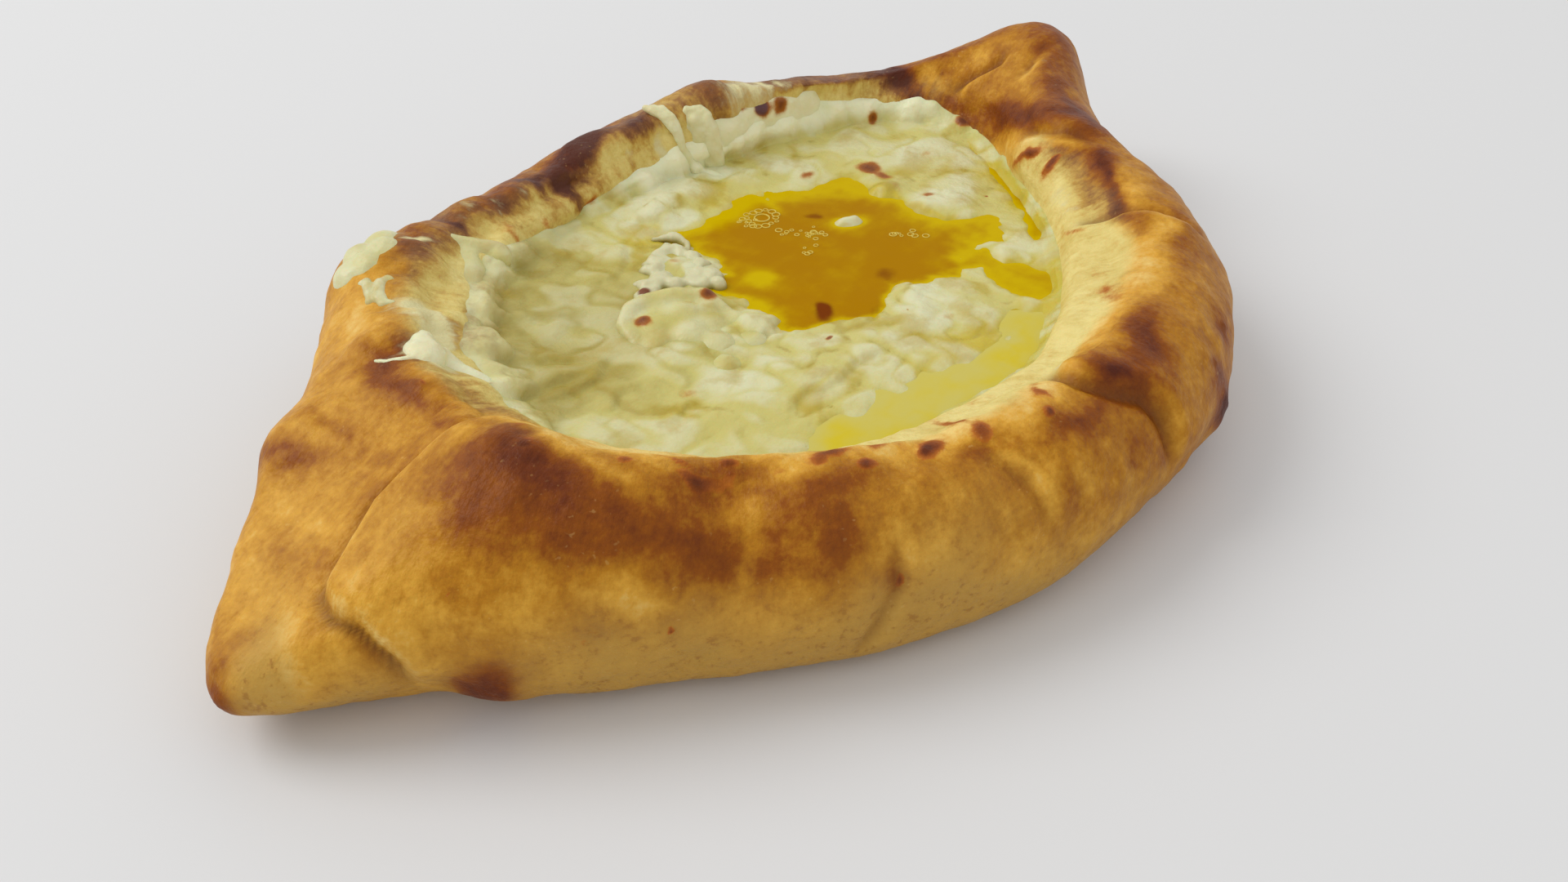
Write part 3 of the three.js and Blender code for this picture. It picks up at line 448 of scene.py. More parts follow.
def catmull_rom(p0, p1, p2, p3, f):
    bend = 2 * p0 - 5 * p1 + 4 * p2 - p3
    return 0.5 * (2 * p1 + (p2 - p0) * f + bend * f * f + (3 * p1 - p0 - 3 * p2 + p3) * f ** 3)


def around(values, station):
    """A smooth loop through the values, read at the stations."""
    values = np.asarray(values, float)
    first = np.floor(station).astype(int)
    f = station - first
    if values.ndim > 1:
        f = f[..., None]
    return catmull_rom(*[values[(first + k) % len(values)] for k in (-1, 0, 1, 2)], f)


def cloud(points, size, seed):
    """Smooth noise from -1 to 1, with swellings of the given size."""
    lattice = np.random.default_rng(seed).random((LATTICE, LATTICE, LATTICE))
    place = points / size + LATTICE_START
    cell = np.floor(place).astype(int)
    f = ease(place - cell, 0, 1)
    total = 0
    for corner in np.ndindex(2, 2, 2):
        weight = np.prod(np.where(np.array(corner), f, 1 - f), axis=-1)
        x, y, z = np.moveaxis((cell + corner) % LATTICE, -1, 0)
        total = total + weight * lattice[x, y, z]
    return 2 * total - 1


def clouds(points, *layers):
    """A sum of noises: (weight, size, seed)."""
    return sum(weight * cloud(points, size, seed) for weight, size, seed in layers)


def drift(points, size, seed, ways=3):
    """A wandering offset, by a noise of its own each way."""
    return np.stack([cloud(points, size, seed + k) for k in range(ways)], -1)


def puffs(points, size, seed):
    """Soft lobes with creases between them: 0 in a crease, about 1 on top of a lobe."""
    bent = points + 0.35 * size * drift(points, size, seed + 1)
    return np.minimum(np.abs(cloud(bent, size, seed)) * 1.8, 1)


def turned(a, b, degrees=0):
    c, s = np.cos(np.radians(degrees)), np.sin(np.radians(degrees))
    return a * c + b * s, b * c - a * s


def distance_to_line(points, line):
    """Distance to a polyline, the side of it (1 on the left) and how far along it from its nearer end."""
    line = np.array(line, float)
    best = np.full(points.shape[:-1], np.inf)
    side = np.ones_like(best)
    run = np.zeros_like(best)
    done = 0
    for start, step in zip(line, np.diff(line, axis=0)):
        offset = points - start
        k = np.clip(offset @ step / (step @ step), 0, 1)
        distance = norm(offset - k[..., None] * step)
        turn = step[0] * offset[..., 1] - step[1] * offset[..., 0]
        nearer = distance < best
        best = np.where(nearer, distance, best)
        side = np.where(nearer, np.where(turn < 0, -1, 1), side)
        run = np.where(nearer, done + k * norm(step), run)
        done += norm(step)
    return best, side, np.minimum(run, done - run)


def inside_distance(points, outline):
    """Distance to a closed outline, positive inside."""
    loop = np.array([*outline, outline[0]], float)
    best, _, _ = distance_to_line(points, loop)
    inside = np.zeros(points.shape[:-1], bool)
    x, y = points[..., 0], points[..., 1]
    for (x0, y0), (x1, y1) in zip(loop[:-1], loop[1:]):
        crosses = (y0 > y) != (y1 > y)
        inside ^= crosses & (x < x0 + (x1 - x0) * (y - y0) / (y1 - y0 + TINY))
    return np.where(inside, best, -best)


# ---- the dough's surface ----

def stations_from(centre, station):
    """Stations on from a place on the rim, negative the other way round."""
    return (station - centre + STATIONS / 2) % STATIONS - STATIONS / 2


def nearness(station, centre):
    return bell(stations_from(centre, station), END_REACH)


def unrolled(station, row, row_height):
    """Places on the dough as if the rim were rolled out flat."""
    return np.stack([station * UNROLLED_STATION, row * row_height, 0 * row], -1)


def on_ring(station, radius, height=0.0):
    """Places on a circle, where noise has no seam."""
    angle = station / STATIONS * 2 * np.pi
    return raised(radius * np.stack([np.cos(angle), np.sin(angle)], -1), height)


def plain_crust(station, row):
    """The dough's surface without swellings and folds."""
    station, row = np.broadcast_arrays(np.asarray(station, float), np.asarray(row, float))
    rim, well, crest = [around(loop, station) for loop in (RIM_OUTLINE, WELL_OUTLINE, CREST_HEIGHTS)]
    near = nearness(station, NEAR_TIP)
    drawn_in = NEAR_FOOT_INSET * nearness(station, NEAR_FOOT)
    drawn_in += SIDE_FOOT_INSET * nearness(station, SIDE_FOOT)
    shoulder = SHOULDER_INSET + NEAR_SHOULDER_INSET * near
    high = crest - SHOULDER_DROP - NEAR_SHOULDER_DROP * near
    inset = CREST_INSET + NEAR_CREST_INSET * near + FAR_CREST_INSET * nearness(station, FAR_TIP)
    across = well - rim
    width = norm(across)
    zero = 0 * width
    profile = np.stack([np.stack(pair, -1) for pair in [
        (BASE_INSET + drawn_in, zero), (0.25 * BASE_INSET + 0.6 * drawn_in, 0.14 * high),
        (zero, 0.42 * high), (0.18 * shoulder, 0.75 * high), (shoulder, high), (inset, crest),
        (inset + 0.45 * (width - inset), 0.9 * crest),
        (inset + 0.8 * (width - inset), 0.5 * (crest + CHEESE_LEVEL)),
        (width, zero + CHEESE_LEVEL), (width + FLOOR_INSET, zero + WELL_FLOOR),
    ]], -2)
    first = np.clip(np.floor(row).astype(int), 0, LAST_ROW - 1)

    def at(k):
        index = np.clip(first + k, 0, LAST_ROW)[..., None, None]
        return np.take_along_axis(profile, index, axis=-2)[..., 0, :]

    inward = catmull_rom(at(-1), at(0), at(1), at(2), (row - first)[..., None])
    return raised(rim + unit(across) * inward[..., :1], inward[..., 1])


def crust_directions(station, row):
    """Unit vectors along the rim, up the profile and out of the dough."""
    before, after = np.maximum(row - STEP, 0), np.minimum(row + STEP, LAST_ROW)
    along = unit(plain_crust(station + STEP, row) - plain_crust(station - STEP, row))
    up = unit(plain_crust(station, after) - plain_crust(station, before))
    return along, up, unit(np.cross(along, up))


def near_crust_line(points, station, row, line):
    """The same for a line on the dough."""
    line = np.array(line, float)
    apart, _, end = distance_to_line(points, plain_crust(*line.T))
    unrolled_station = line[0, 0] + stations_from(line[0, 0], station)
    places = np.stack([unrolled_station * ROWS_PER_STATION, row], -1)
    _, side, _ = distance_to_line(places, line * (ROWS_PER_STATION, 1))
    return apart, side, end


def dabs_on_crust(points, marks, power=2):
    """The sum of soft oval marks laid on the dough."""
    total = np.zeros(points.shape[:-1])
    for station, row, length, width, amount, *turn in marks:
        along, up, _ = crust_directions(station, row)
        offset = points - plain_crust(station, row)
        a, b = turned(offset @ along, offset @ up, *turn)
        c = offset @ np.cross(along, up)
        reach = (a / length) ** 2 + (b / width) ** 2 + (c / (length + width)) ** 2
        total += amount * np.exp(-reach ** (power / 2))
    return total


def crust_relief(points, station, row):
    """How far swellings, folds and hollows move the dough's surface outwards."""
    height = np.zeros(station.shape)
    for lobe_station, lobe_row, rise, radius in LOBES:
        height += rise * bell(norm(points - plain_crust(lobe_station, lobe_row)), radius)
    for line, lip, sink, reach in FOLDS:
        apart, side, end = near_crust_line(points, station, row, line)
        crease = bell(apart, FOLD_WIDTH)
        lifted = np.where(side * lip > 0, abs(lip) * (1 - crease) * np.exp(-apart / reach), 0)
        height += ease(end, 0, FOLD_FADE) * (lifted - sink * crease)
    for line, depth, width in VALLEYS:
        apart, _, end = near_crust_line(points, station, row, line)
        height -= ease(end, 0, FOLD_FADE) * depth * bell(apart, width)
    height += clouds(points, (0.8, 26, 1), (0.5, 11, 2), (0.28, 4.5, 3), (0.13, 2.2, 6))
    height += 0.35 * puffs(points, 16, 141) * ease(row, 2, 3.5)
    flat = unrolled(station, row, 1.2)
    drips = 1.2 * puffs(flat, 4, 4) + 0.6 * cloud(flat, 1.9, 5) - 0.5
    inside_back = ease(station, 10, 10.8) * ease(row, 4.2, 5.4)
    height += (0.25 + 0.75 * inside_back) * drips * ease(row, 3.5, 5)
    lumpy = between(station, 10.6, 11.2, 15.2, 15.8) * ease(row, 3.8, 4.6)
    height += lumpy * (0.9 * cloud(points, 8, 7) + 0.9 * puffs(points, 8, 171) - 0.3)
    height += 0.5 * dabs_on_crust(points, [mark for mark in BLISTERS if mark[4] > 0.4], 4)
    return height * between(row, 0.3, 1.2, 7.2, 8)


def crust(station, row, clearance=0):
    plain = plain_crust(station, row)
    _, _, out = crust_directions(station, row)
    return plain + out * (crust_relief(plain, station, row) + clearance)[..., None]


# ---- the cheese's surface ----

def dabs_on_cheese(flat, marks, power=2):
    total = np.zeros(flat.shape[:-1])
    for x, y, length, width, amount, *turn in marks:
        a, b = turned(flat[..., 0] - x, flat[..., 1] - y, *turn)
        total += amount * np.exp(-((a / length) ** 2 + (b / width) ** 2) ** (power / 2))
    return total


def pool_depth(flat):
    """How deep the yolk lies at a place on the cheese, before lumps stand up in it."""
    ragged = clouds(raised(flat), (1.8, 7, 31), (1.6, 3.4, 32), (0.7, 1.7, 33))
    slow = 3.5 + 10 * ease(flat[..., 0] + flat[..., 1], 10, 60)
    main = ease(inside_distance(flat, YOLK_SHORE) + ragged, -2, slow) * YOLK_DEPTH
    thin = [inside_distance(flat, outline) + 0.6 * ragged for outline in (YOLK_CHANNEL, YOLK_STRIP)]
    return np.maximum(main, ease(np.maximum(*thin), -1.5, 3) * THIN_YOLK_DEPTH)


def butter_depth(flat):
    ragged = clouds(raised(flat), (3, 9, 41), (1.2, 4, 42), (0.4, 2, 43))
    return ease(inside_distance(flat, BUTTER_SHORE) + ragged, -4, 6) * BUTTER_DEPTH


def cheese_puffs(flat):
    """Where the cheese's soft lobes and the creases between them lie."""
    return 0.6 * puffs(raised(flat), 13, 121) + 0.4 * puffs(raised(flat), 5.5, 131)


def cheese_top(flat):
    """Height of the cheese at x, y."""
    space = raised(flat)
    height = CHEESE_LEVEL + CHEESE_LIFT + 0.75 * cheese_puffs(flat) + dabs_on_cheese(flat, CHEESE_HUMPS)
    height += clouds(space, (0.45, 17, 21), (0.2, 7, 22), (0.09, 3.2, 23), (0.05, 1.6, 25))
    swayed = flat + 1.2 * cloud(space, 9, 24)[..., None]
    for line, lip, sink, reach in CHEESE_WRINKLES:
        apart, side, end = distance_to_line(swayed, line)
        crease = bell(apart, WRINKLE_WIDTH)
        lifted = np.where(side > 0, lip * (1 - crease) * np.exp(-apart / reach), 0)
        height += ease(end, 0, WRINKLE_FADE) * (lifted - sink * crease)
    return np.maximum(height, YOLK_LEVEL + CHEESE_ABOVE_YOLK) - pool_depth(flat) - butter_depth(flat)


# ---- meshes ----

def select(*pieces):
    """Selects these pieces and nothing else, and makes the first one active."""
    bpy.ops.object.select_all(action="DESELECT")
    for piece in pieces:
        piece.select_set(True)
    if pieces:
        bpy.context.view_layer.objects.active = pieces[0]


def read(piece, field="co"):
    """A vector for each vertex."""
    values = np.empty(len(piece.data.vertices) * 3, np.float32)
    piece.data.vertices.foreach_get(field, values)
    return values.reshape(-1, 3).astype(float)


def named(piece, name):
    piece.name = piece.data.name = name
    return piece


def sheet(name, across, along):
    """A flat grid of quads that a surface is laid on, and where its vertices stand, 0 to 1 each way."""
    select()
    bpy.ops.mesh.primitive_grid_add(x_subdivisions=across, y_subdivisions=along, size=1)
    piece = named(bpy.context.active_object, name)
    u, v, _ = np.clip(read(piece) + 0.5, 0, 1).T
    return piece, u, v


def lay(piece, points):
    """Moves every vertex to its point in millimetres."""
    piece.data.vertices.foreach_set("co", (points * MM).astype(np.float32).ravel())
    piece.data.update()


def tint(piece, limit=1, **layers):
    """Keeps a number from 0 to the limit for each vertex, in layers that a material reads."""
    for name, values in layers.items():
        layer = piece.data.attributes.new(name, "FLOAT", "POINT")
        values = np.clip(values, 0, limit) + np.zeros(len(piece.data.vertices))
        layer.data.foreach_set("value", values.astype(np.float32))


def join(name, parts):
    """Several pieces made into one at the origin."""
    select(*parts)
    bpy.ops.object.join()
    bpy.ops.object.transform_apply(location=True, rotation=True, scale=True)
    return named(bpy.context.active_object, name)


def close_up(piece):
    """Joins the seam and the poles, turns the faces outwards and smooths the shading."""
    select(piece)
    bpy.ops.object.mode_set(mode="EDIT")
    bpy.ops.mesh.select_all(action="SELECT")
    bpy.ops.mesh.remove_doubles(threshold=SEAM_GAP)
    bpy.ops.mesh.normals_make_consistent(inside=False)
    bpy.ops.object.mode_set(mode="OBJECT")
    bpy.ops.object.shade_smooth()
    return piece


def finish_piece(piece, material, slot, *nodes):
    piece.data.materials.clear()
    piece.data.materials.append(material)
    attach(piece, "root")
    if nodes:
        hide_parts(*nodes)


# ---- materials ----

def colour(shade):
    """A screen colour, 0 to 255, as the linear colour that nodes take. A wire stays a wire."""
    if isinstance(shade, Wire):
        return shade
    part = np.array(shade) / 255
    linear = np.where(part <= 0.04045, part / 12.92, ((part + 0.055) / 1.055) ** 2.4)
    return (*linear.tolist(), 1.0)


def set_stops(ramp, stops):
    """Gives a colour ramp its stops: (place, colour), in order."""
    while len(ramp.elements) < len(stops):
        ramp.elements.new(0.5)
    for element, (place, shade) in zip(ramp.elements, stops):
        element.position = place
        element.color = colour(shade)


def plug(tree, node, sockets):
    """Sets or links a node's inputs."""
    for name, value in sockets.items():
        if isinstance(value, Wire):
            tree.links.new(value.socket, node.inputs[name])
        else:
            node.inputs[name].default_value = value


class Wire:
    """An output socket of a material's nodes. Arithmetic on it adds Math nodes."""

    def __init__(self, tree, socket=None):
        self.tree = tree
        self.socket = socket

    def node(self, kind, settings, sockets, output=0):
        """Adds any other node: its settings first, then the values or links of its sockets."""
        node = self.tree.nodes.new("ShaderNode" + kind)
        for name, value in settings.items():
            if name == "stops":
                set_stops(node.color_ramp, value)
            else:
                setattr(node, name, value)
        plug(self.tree, node, sockets)
        return Wire(self.tree, node.outputs[output])

    def maths(self, operation, *values):
        return self.node("Math", {"operation": operation}, dict(enumerate(values)))

    def __add__(self, other):
        return self.maths("ADD", self, other)

    def __sub__(self, other):
        return self.maths("SUBTRACT", self, other)

    def __mul__(self, other):
        return self.maths("MULTIPLY", self, other)

    def __radd__(self, other):
        return self.maths("ADD", other, self)

    def __rsub__(self, other):
        return self.maths("SUBTRACT", other, self)

    def __rmul__(self, other):
        return self.maths("MULTIPLY", other, self)

    def steep(self, low, high):
        """0 below low, 1 above high, smooth between."""
        return self.node("MapRange", {"interpolation_type": "SMOOTHSTEP"}, {0: self, 1: low, 2: high})

    def clamped(self):
        return self.node("Clamp", {}, {0: self})

    def mix(self, factor, first, second, blend="MIX"):
        settings = {"data_type": "RGBA", "blend_type": blend}
        return self.node("Mix", settings, {0: factor, 6: colour(first), 7: colour(second)}, 2)

    def ramp(self, stops):
        return self.node("ValToRGB", {"stops": stops}, {0: self})

    def layer(self, name):
        return self.node("Attribute", {"attribute_name": name}, {}, 2)

    def direction(self, name):
        return self.node("Attribute", {"attribute_name": name}, {}, 1)

    def speckle(self, scale, detail=3, roughness=0.5, stretch=(1, 1, 1), where=None):
        """Noise from -0.5 to 0.5 about 1/scale metres across, finer where it is squeezed."""
        where = where or self.node("TexCoord", {}, {}, 3)
        placed = self.node("Mapping", {}, {0: where, 3: stretch})
        sockets = {"Vector": placed, "Scale": scale, "Detail": detail, "Roughness": roughness}
        return self.node("TexNoise", {}, sockets) - 0.5

    def bump(self, height, distance):
        return self.node("Bump", {}, {"Strength": 1, "Distance": distance, "Height": height})


def new_material(name):
    material = bpy.data.materials.new(name)
    material.use_nodes = True
    return material, Wire(material.node_tree)


def set_shader(material, paint, rough, specular, sockets):
    """Sets the shader's fixed values and links what varies."""
    shader = material.node_tree.nodes["Principled BSDF"]
    fixed = {"Base Color": paint, "Roughness": rough, "Specular IOR Level": specular}
    plug(material.node_tree, shader, fixed | sockets)
    return material


def crust_paint(pen):
    bake = pen.layer("bake")
    inner = pen.layer("cream")
    grain = pen.direction("grain")
    blotch = pen.speckle(70, 6, 0.62)
    mottle = pen.speckle(190, 5, 0.62)
    flecks = pen.speckle(620, 3, 0.6)
    streaks = pen.speckle(1, 5, 0.65, STREAKS, grain)
    fine_streaks = pen.speckle(1, 3, 0.6, FINE_STREAKS, grain)
    baked = bake + 0.46 * blotch + 0.4 * mottle + 0.24 * flecks + (0.12 + 0.55 * inner) * streaks
    baked = baked + (0.04 + 0.14 * inner) * fine_streaks
    # The foot layer is painted shade: a greyer dough colour low on the side.
    foot = (pen.layer("foot") + 0.5 * blotch).clamped() * (1 - bake.steep(0.42, 0.7))
    skin = pen.mix(foot * 0.8, baked.ramp(SKIN_TONES), DOUGH_FOOT_SHADE)
    skin = pen.mix((flecks + 0.5 * mottle).steep(0.06, 0.22) * foot * 0.5, skin, FRECKLE)
    cream = (inner + 0.5 * mottle + 0.7 * streaks).steep(0.25, 0.8)
    paint = pen.mix(cream, skin, baked.ramp(MARBLED_TONES))
    milk = (pen.layer("milk") + streaks + 0.5 * mottle).steep(0.3, 0.7)
    paint = pen.mix(milk, paint, CRUST_MILK)
    ragged = pen.layer("spot") + 0.35 * flecks + 0.6 * mottle
    scorched = pen.mix(1, paint, ragged.ramp(BURNT_TONES), "DARKEN")
    paint = pen.mix(ragged.steep(0, 0.42), paint, scorched)
    glints = pen.speckle(900, 1).steep(0.18, 0.28) * pen.speckle(60, 2).steep(-0.02, 0.12)
    paint = pen.mix(glints * 0.15, paint, GLINT)
    # Painted shade in the folds' creases.
    return pen.mix(pen.layer("crease").clamped() * 0.7, paint, CRUST_CREASE_SHADE)


def crust_finish():
    material, pen = new_material("crust")
    grain = pen.direction("grain")
    wrinkle = pen.speckle(1, 4, 0.6, WRINKLES, grain) + 0.25 * pen.speckle(1, 3, 0.6, FINE_STREAKS, grain)
    height = wrinkle * 0.55 + pen.speckle(700, 3, 0.6) * 0.3 + pen.speckle(220, 4, 0.6) * 0.7
    return set_shader(material, crust_paint(pen), 0.465 + 0.25 * pen.speckle(50), 0.22, {
        "Normal": pen.bump(height, CRUST_BUMP), "IOR": 1.42,
        "Subsurface Weight": 0.05, "Subsurface Scale": 0.004,
    })


def cheese_paint(pen):
    broad = pen.speckle(62, 4, 0.6)
    mottle = pen.speckle(120, 4, 0.62)
    fine = pen.speckle(420, 3, 0.6)
    lobes = pen.layer("puff") - 0.45
    oil = (pen.layer("oil") + 1.5 * broad + 0.6 * mottle - 0.5 * lobes).steep(0.1, 0.85)
    paint = pen.mix(oil, CHEESE_CREAM, CHEESE_YELLOW)
    # Painted shade: where the shade layer says, and more off the lobes' tops.
    shade = (pen.layer("shade") + mottle + 0.8 * broad - 0.5 * lobes).clamped()
    paint = pen.mix(shade * 0.85, paint, CHEESE_IN_SHADE)
    # White curd, with painted light on the lobes' tops.
    milk = (pen.layer("milk") + 0.8 * mottle + 0.7 * broad + lobes).steep(0.1, 0.95)
    paint = pen.mix(milk * (1 - 0.5 * shade), paint, CHEESE_MILK)
    # Painted shade in the creases between the lobes.
    crease = 1 - (lobes + 0.4 * fine).steep(-0.41, -0.15)
    paint = pen.mix(crease * 0.55, paint, CHEESE_CREASE_SHADE)
    paint = pen.mix((broad + 0.4 * mottle).steep(0, 0.18) * 0.5, paint, CHEESE_OILY)
    # Painted light that brightens the walls and the smears.
    pale = (pen.layer("pale") * (1 + 0.5 * mottle)).clamped()
    paint = pen.mix(pale, paint, CHEESE_LIT)
    tan = (pen.layer("tan") + 0.9 * mottle + 0.5 * fine).steep(0.2, 0.9)
    paint = pen.mix(tan, paint, CHEESE_TAN)
    ragged = pen.layer("spot") + 0.5 * mottle + 0.4 * fine
    # Spots where the painted shade is deep take a darker violet tone.
    toasted = pen.mix(pen.layer("shade").steep(0.7, 1), ragged.ramp(TOASTED_TONES), TOASTED_IN_SHADE)
    return pen.mix(ragged.steep(0.1, 0.5), paint, toasted)


def cheese_finish():
    material, pen = new_material("melted_cheese")
    height = pen.speckle(120, 4, 0.55) + pen.speckle(420) * 0.35
    return set_shader(material, cheese_paint(pen), 0.365 + 0.25 * pen.speckle(80), 0.4, {
        "Normal": pen.bump(height, CHEESE_BUMP), "IOR": 1.42,
        "Subsurface Weight": 0.15, "Subsurface Scale": 0.005,
    })


def pool_finish(name, thin, deep):
    """A liquid whose colour deepens with the layer named depth."""
    material, pen = new_material(name)
    swirl = pen.speckle(60, 5, 0.65, (1, 2, 1))
    depth = (pen.layer("depth") + 0.9 * swirl + 0.6 * pen.speckle(260, 4, 0.65)).steep(-0.1, 1.2)
    spot = (pen.layer("spot") + 0.4 * pen.speckle(250)).steep(0.12, 0.7)
    paint = pen.mix(spot, pen.mix(depth, thin, deep), POOL_SPOT)
    return set_shader(material, paint, 0.15 + 0.1 * pen.speckle(120, 2), 0.02, {
        "Normal": pen.bump(pen.speckle(90, 2), POOL_BUMP), "IOR": 1.36,
    })


def curd_finish():
    material, pen = new_material("egg_white")
    # Painted light and shade: the curd lighter high up and darker low down.
    peak = (pen.layer("peak") + 0.6 * pen.speckle(180)).steep(0.15, 0.85)
    spot = (pen.layer("spot") + 0.3 * pen.speckle(250)).steep(0.15, 0.7)
    paint = pen.mix(spot, pen.mix(peak, CURD_SHADED, CURD_LIT), CURD_SPOT)
    return set_shader(material, paint, 0.36 + 0.2 * pen.speckle(100, 2), 0.5, {
        "Normal": pen.bump(pen.speckle(250), CURD_BUMP), "IOR": 1.42,
        "Subsurface Weight": 0.15, "Subsurface Scale": 0.004,
    })


def foam_finish():
    material, pen = new_material("foam")
    return set_shader(material, pen.mix(pen.speckle(400, 2) + 0.5, *FOAM_TONES), 0.2, 0.4, {"IOR": 1.36})


# ---- the dough ----

def make_bread():
    """Rings from the base's centre up over the rim to the middle of the well's floor."""
    base = [(0, k / BASE_RINGS) for k in range(BASE_RINGS)]
    side = [(LAST_ROW * k / SIDE_RINGS, 1) for k in range(SIDE_RINGS + 1)]
    floor = [(LAST_ROW, 1 - k / FLOOR_RINGS) for k in range(1, FLOOR_RINGS + 1)]
    rows_and_shares = np.array(base + side + floor, float)
    last = len(rows_and_shares) - 1
    piece, u, v = sheet("bread_crust", BREAD_STEPS, last)
    row, share = rows_and_shares[np.rint(v * last).astype(int)].T
    station = (u * STATIONS) % STATIONS
    points = crust(station, row)
    centre = np.array(BREAD_CENTRE) + np.array([0, 0, 1]) * points[:, 2:]
    lay(piece, centre + (points - centre) * share[:, None])
    paint_bread(piece, plain_crust(station, row), station, row)
    return close_up(piece)


def paint_bread(piece, plain, station, row):
    warp = drift(plain, 12, 51)
    fine = drift(plain, 4, 54)
    moved = plain + 2.4 * warp + 1.1 * fine
    right = between(station, 4.4, 5.4, 8, 8.8)
    outside = 1 - ease(row + 0.35 * warp[:, 0], 4.9 - 0.7 * right, 5.8)
    left_wall = between(station, 12.7, 13.1, 15.1, 15.6)
    marbled = np.clip(0.45 + clouds(unrolled(station, row, 3), (0.9, 6, 65), (0.6, 3, 66)), -0.4, 1.3)
    halo = [
        (at, up, length * 1.9 + 1.5, width * 1.9 + 1.5, 0.2 * dark, *turn)
        for at, up, length, width, dark, *turn in BLISTERS
    ]
    bake = 0.08 + 0.25 * outside + dabs_on_crust(moved, BROWNING + halo) + 0.06 * cloud(plain, 20, 57)
    bake += 0.14 * between(station, 3.8, 4.4, 8.6, 9) * outside
    bake += 0.17 * between(station, 9.6, 10.4, 13.8, 14.6) * outside
    bake -= 0.2 * between(station, 2, 3.4, 4.4, 5) * ease(row, 4.4, 5) * outside
    bake -= 0.1 * between(station, 2.3, 2.8, 4.3, 4.7) * ease(row, 4.3, 4.8)
    bake += 0.26 * nearness(station, 8.9) * ease(row, 3.5, 4.5)
    upper_wall = ease(row, 4.4, 4.9) * (1 - ease(row + 0.6 * warp[:, 1], 5.4, 7))
    bake += 0.26 * left_wall * upper_wall * marbled
    # Painted shade: a dark line in each fold's crease and darker dough beside it under the lip, with a
    # painted highlight along the lip.
    crease = np.zeros_like(bake)
    for line, lip, _, _ in FOLDS:
        apart, side, end = near_crust_line(plain + 0.4 * fine, station, row, line)
        fade = ease(end, 0, 8)
        crease += (0.3 + 0.3 * abs(lip)) * fade * bell(apart, 1.4)
        bake += 0.1 * fade * np.where(side * lip < 0, np.exp(-apart / 5), -1.4 * bell(apart - 2.6, 1.2))
    tip = np.abs(stations_from(NEAR_TIP, station))
    # Painted shade low on the side near the near tip, kept in the foot layer.
    foot = (1 - ease(row + 0.5 * warp[:, 0], 1.6, 3.3)) * (1 - ease(tip, 3.6, 5.2))
    foot *= 0.45 + 0.55 * ease(tip, 1, 1.7)
    crest = between(station, 2.3, 2.8, 4.2, 4.8)
    inner = ease(row + 0.3 * warp[:, 1] + 0.5 * crest, 5, 6.2) * ease(station, 1, 2)
    inner *= (0.35 + 0.55 * between(station, 1.6, 3.2, 7.6, 8.2)) * (1 - nearness(station, 8.6))
    spot_places = plain + 0.9 * fine + 0.4 * drift(plain, 1.8, 58)
    milky = 0.2 * left_wall * between(row, 4.2, 4.8, 6.6, 7.6)
    cream = dabs_on_crust(moved, SMEARS) + inner + ease(row, 7.4, 8.2)
    tint(piece, 1.1, bake=bake, spot=dabs_on_crust(spot_places, BLISTERS, 2.2))
    tint(piece, 1.2, cream=cream, milk=dabs_on_crust(moved, MILK) + milky)
    tint(piece, foot=foot + dabs_on_crust(moved, FOOT_SHADE_MARKS), crease=crease)
    grain = piece.data.attributes.new("grain", "FLOAT_VECTOR", "POINT")
    grain.data.foreach_set("vector", on_ring(station, 18, row * 4).astype(np.float32).ravel())


# ---- the filling ----

def film_place(station, share):
    """The skin of cheese that has climbed the wall: share 0 is its upper edge, 1 the cheese's level."""
    ring = on_ring(station, 100)
    top = around(CLIMB_ROWS, station) + clouds(ring, (0.3, 9, 61), (0.15, 4, 62))
    top = np.minimum(top, HIGHEST_FILM_ROW)
    thick = around(FILM_THICKNESS, station) * (0.5 + share) * share ** 0.5
    thick = thick * (1 + clouds(ring, (0.5, 6, 63), (0.3, 3, 64)))
    return crust(station, top + (LOWEST_FILM_ROW - top) * share, thick - 0.5 * (1 - share))


